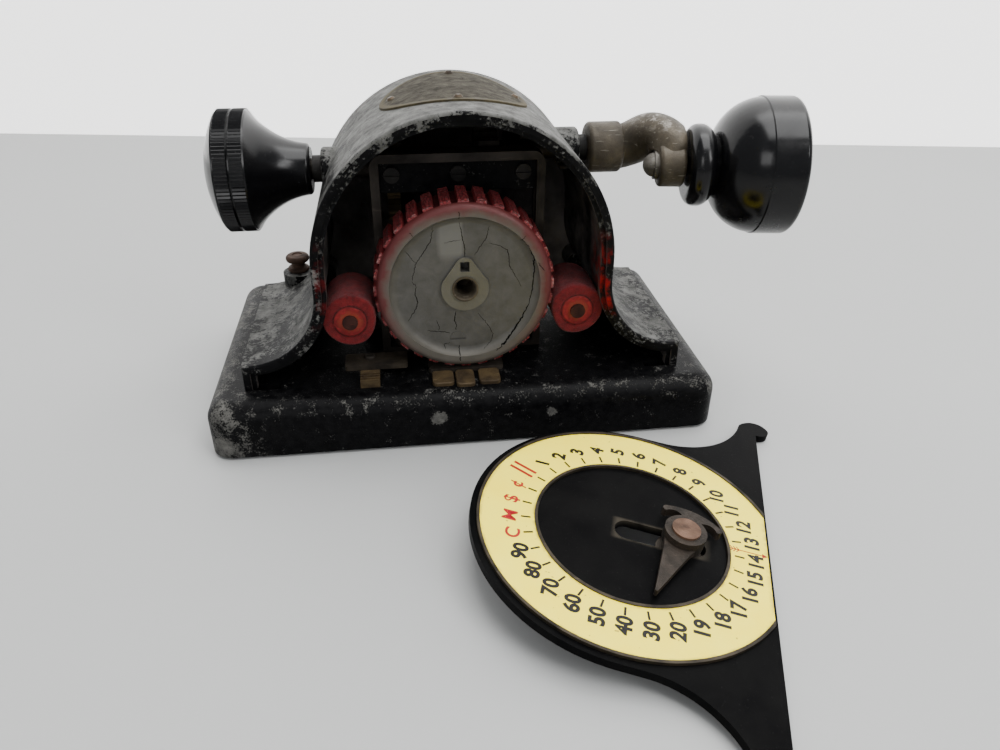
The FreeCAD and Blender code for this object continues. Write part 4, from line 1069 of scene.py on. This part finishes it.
# Pointer: pressed steel with a tapered arm on a stud through the slot, rusted brown and pitted,
# with a flat copper-brown rivet head.
pointer_steel = tarnished(
    "pointer_steel",
    rgb(0.028, 0.020, 0.014),
    rgb(0.010, 0.008, 0.006),
    rgb(0.10, 0.08, 0.06),
    metal=0.0,
    rough=(0.5, 0.8),
    fineness=2.4,
    depth=0.0004,
)
dress(pointer_steel, "pointer")
rivet_rust = tarnished(
    "rivet_rust",
    rgb(0.125, 0.066, 0.040),
    rgb(0.050, 0.028, 0.018),
    rgb(0.16, 0.09, 0.055),
    metal=0.0,
    rough=(0.5, 0.8),
    fineness=2.4,
    depth=0.0003,
)
dress(rivet_rust, "pointer_stud")


# Table, wall and light: a pale grey table top with a white wall behind, under soft light from the
# ceiling and two windows, and the camera at the photograph's viewing angle.
def plain_matt(name, colour, other, scale, glow=0.0):
    """Plain surface whose colour drifts a little, with a glow of its own where one is given."""
    material, tree, shader, place = surface(name, 0.3)
    join(tree, shader, Base_Color=tint(tree, noise(tree, place, scale, 3.0), colour, other))
    shader.inputs["Roughness"].default_value = 0.55
    shader.inputs["Emission Color"].default_value = rgb(1.0, 0.99, 0.98)
    shader.inputs["Emission Strength"].default_value = glow
    return material


def flat_sheet(name, corners, material):
    """One four-cornered face of the stage."""
    made = new_piece(name, np.array(corners), [[0, 1, 2, 3]])
    made.data.materials.append(material)


ROOM_REACH = 3.0
WALL_LEFT, WALL_RIGHT = 0.878, -0.068
WALL_GLOW = 1.7
table_grey = plain_matt("table_grey", rgb(0.350, 0.354, 0.350), rgb(0.375, 0.379, 0.374), 3.0)
wall_white = plain_matt("wall_white", rgb(0.86, 0.86, 0.85), rgb(0.90, 0.89, 0.88), 6.0, WALL_GLOW)
table_front = [(-ROOM_REACH, -ROOM_REACH, 0), (ROOM_REACH, -ROOM_REACH, 0)]
wall_foot = [(-ROOM_REACH, WALL_LEFT, 0), (ROOM_REACH, WALL_RIGHT, 0)]
wall_top = [(ROOM_REACH, WALL_RIGHT, ROOM_REACH), (-ROOM_REACH, WALL_LEFT, ROOM_REACH)]
flat_sheet("table", table_front + wall_foot[::-1], table_grey)
flat_sheet("wall", wall_foot + wall_top, wall_white)


def window(name, place, aim, width, height, power):
    """Rectangular lamp at a place, turned to its aim; sizes in metres and power in watts."""
    lamp = bpy.data.lights.new(name, "AREA")
    lamp.shape = "RECTANGLE"
    lamp.size, lamp.size_y = width, height
    lamp.energy = power
    made = bpy.data.objects.new(name, lamp)
    made.location = place
    made.rotation_euler = (Vector(aim) - Vector(place)).to_track_quat("-Z", "Y").to_euler()
    bpy.context.scene.collection.objects.link(made)


window("ceiling", (0.25, -0.05, 1.25), (0.0, -0.06, 0.0), 1.3, 0.9, 27.0)
window("front_window", (-0.5, -1.5, 0.9), (0.0, 0.0, 0.06), 0.7, 0.6, 6.0)
window("side_window", (0.85, -1.0, 0.95), (0.10, -0.05, 0.09), 0.4, 0.7, 9.0)
room = bpy.data.worlds.new("room")
room.use_nodes = True
sky = room.node_tree.nodes["Background"]
sky.inputs["Color"].default_value = rgb(0.93, 0.96, 1.0)
sky.inputs["Strength"].default_value = 0.5
bpy.context.scene.world = room

eye = bpy.data.cameras.new("eye")
eye.sensor_width = 36.0
eye.lens = 28.15
camera = bpy.data.objects.new("eye", eye)
EYE_PLACE = Vector((-0.0230, -0.3196, 0.1833))
EYE_RIGHT = Vector((0.9915, -0.1303, 0.0072))
EYE_UP = Vector((0.0610, 0.5114, 0.8572))
EYE_BACK = Vector((-0.1153, -0.8494, 0.5153))
turned = Matrix((EYE_RIGHT, EYE_UP, EYE_BACK)).transposed().to_4x4()
turned.translation = EYE_PLACE
camera.matrix_world = turned
bpy.context.scene.collection.objects.link(camera)
bpy.context.scene.camera = camera
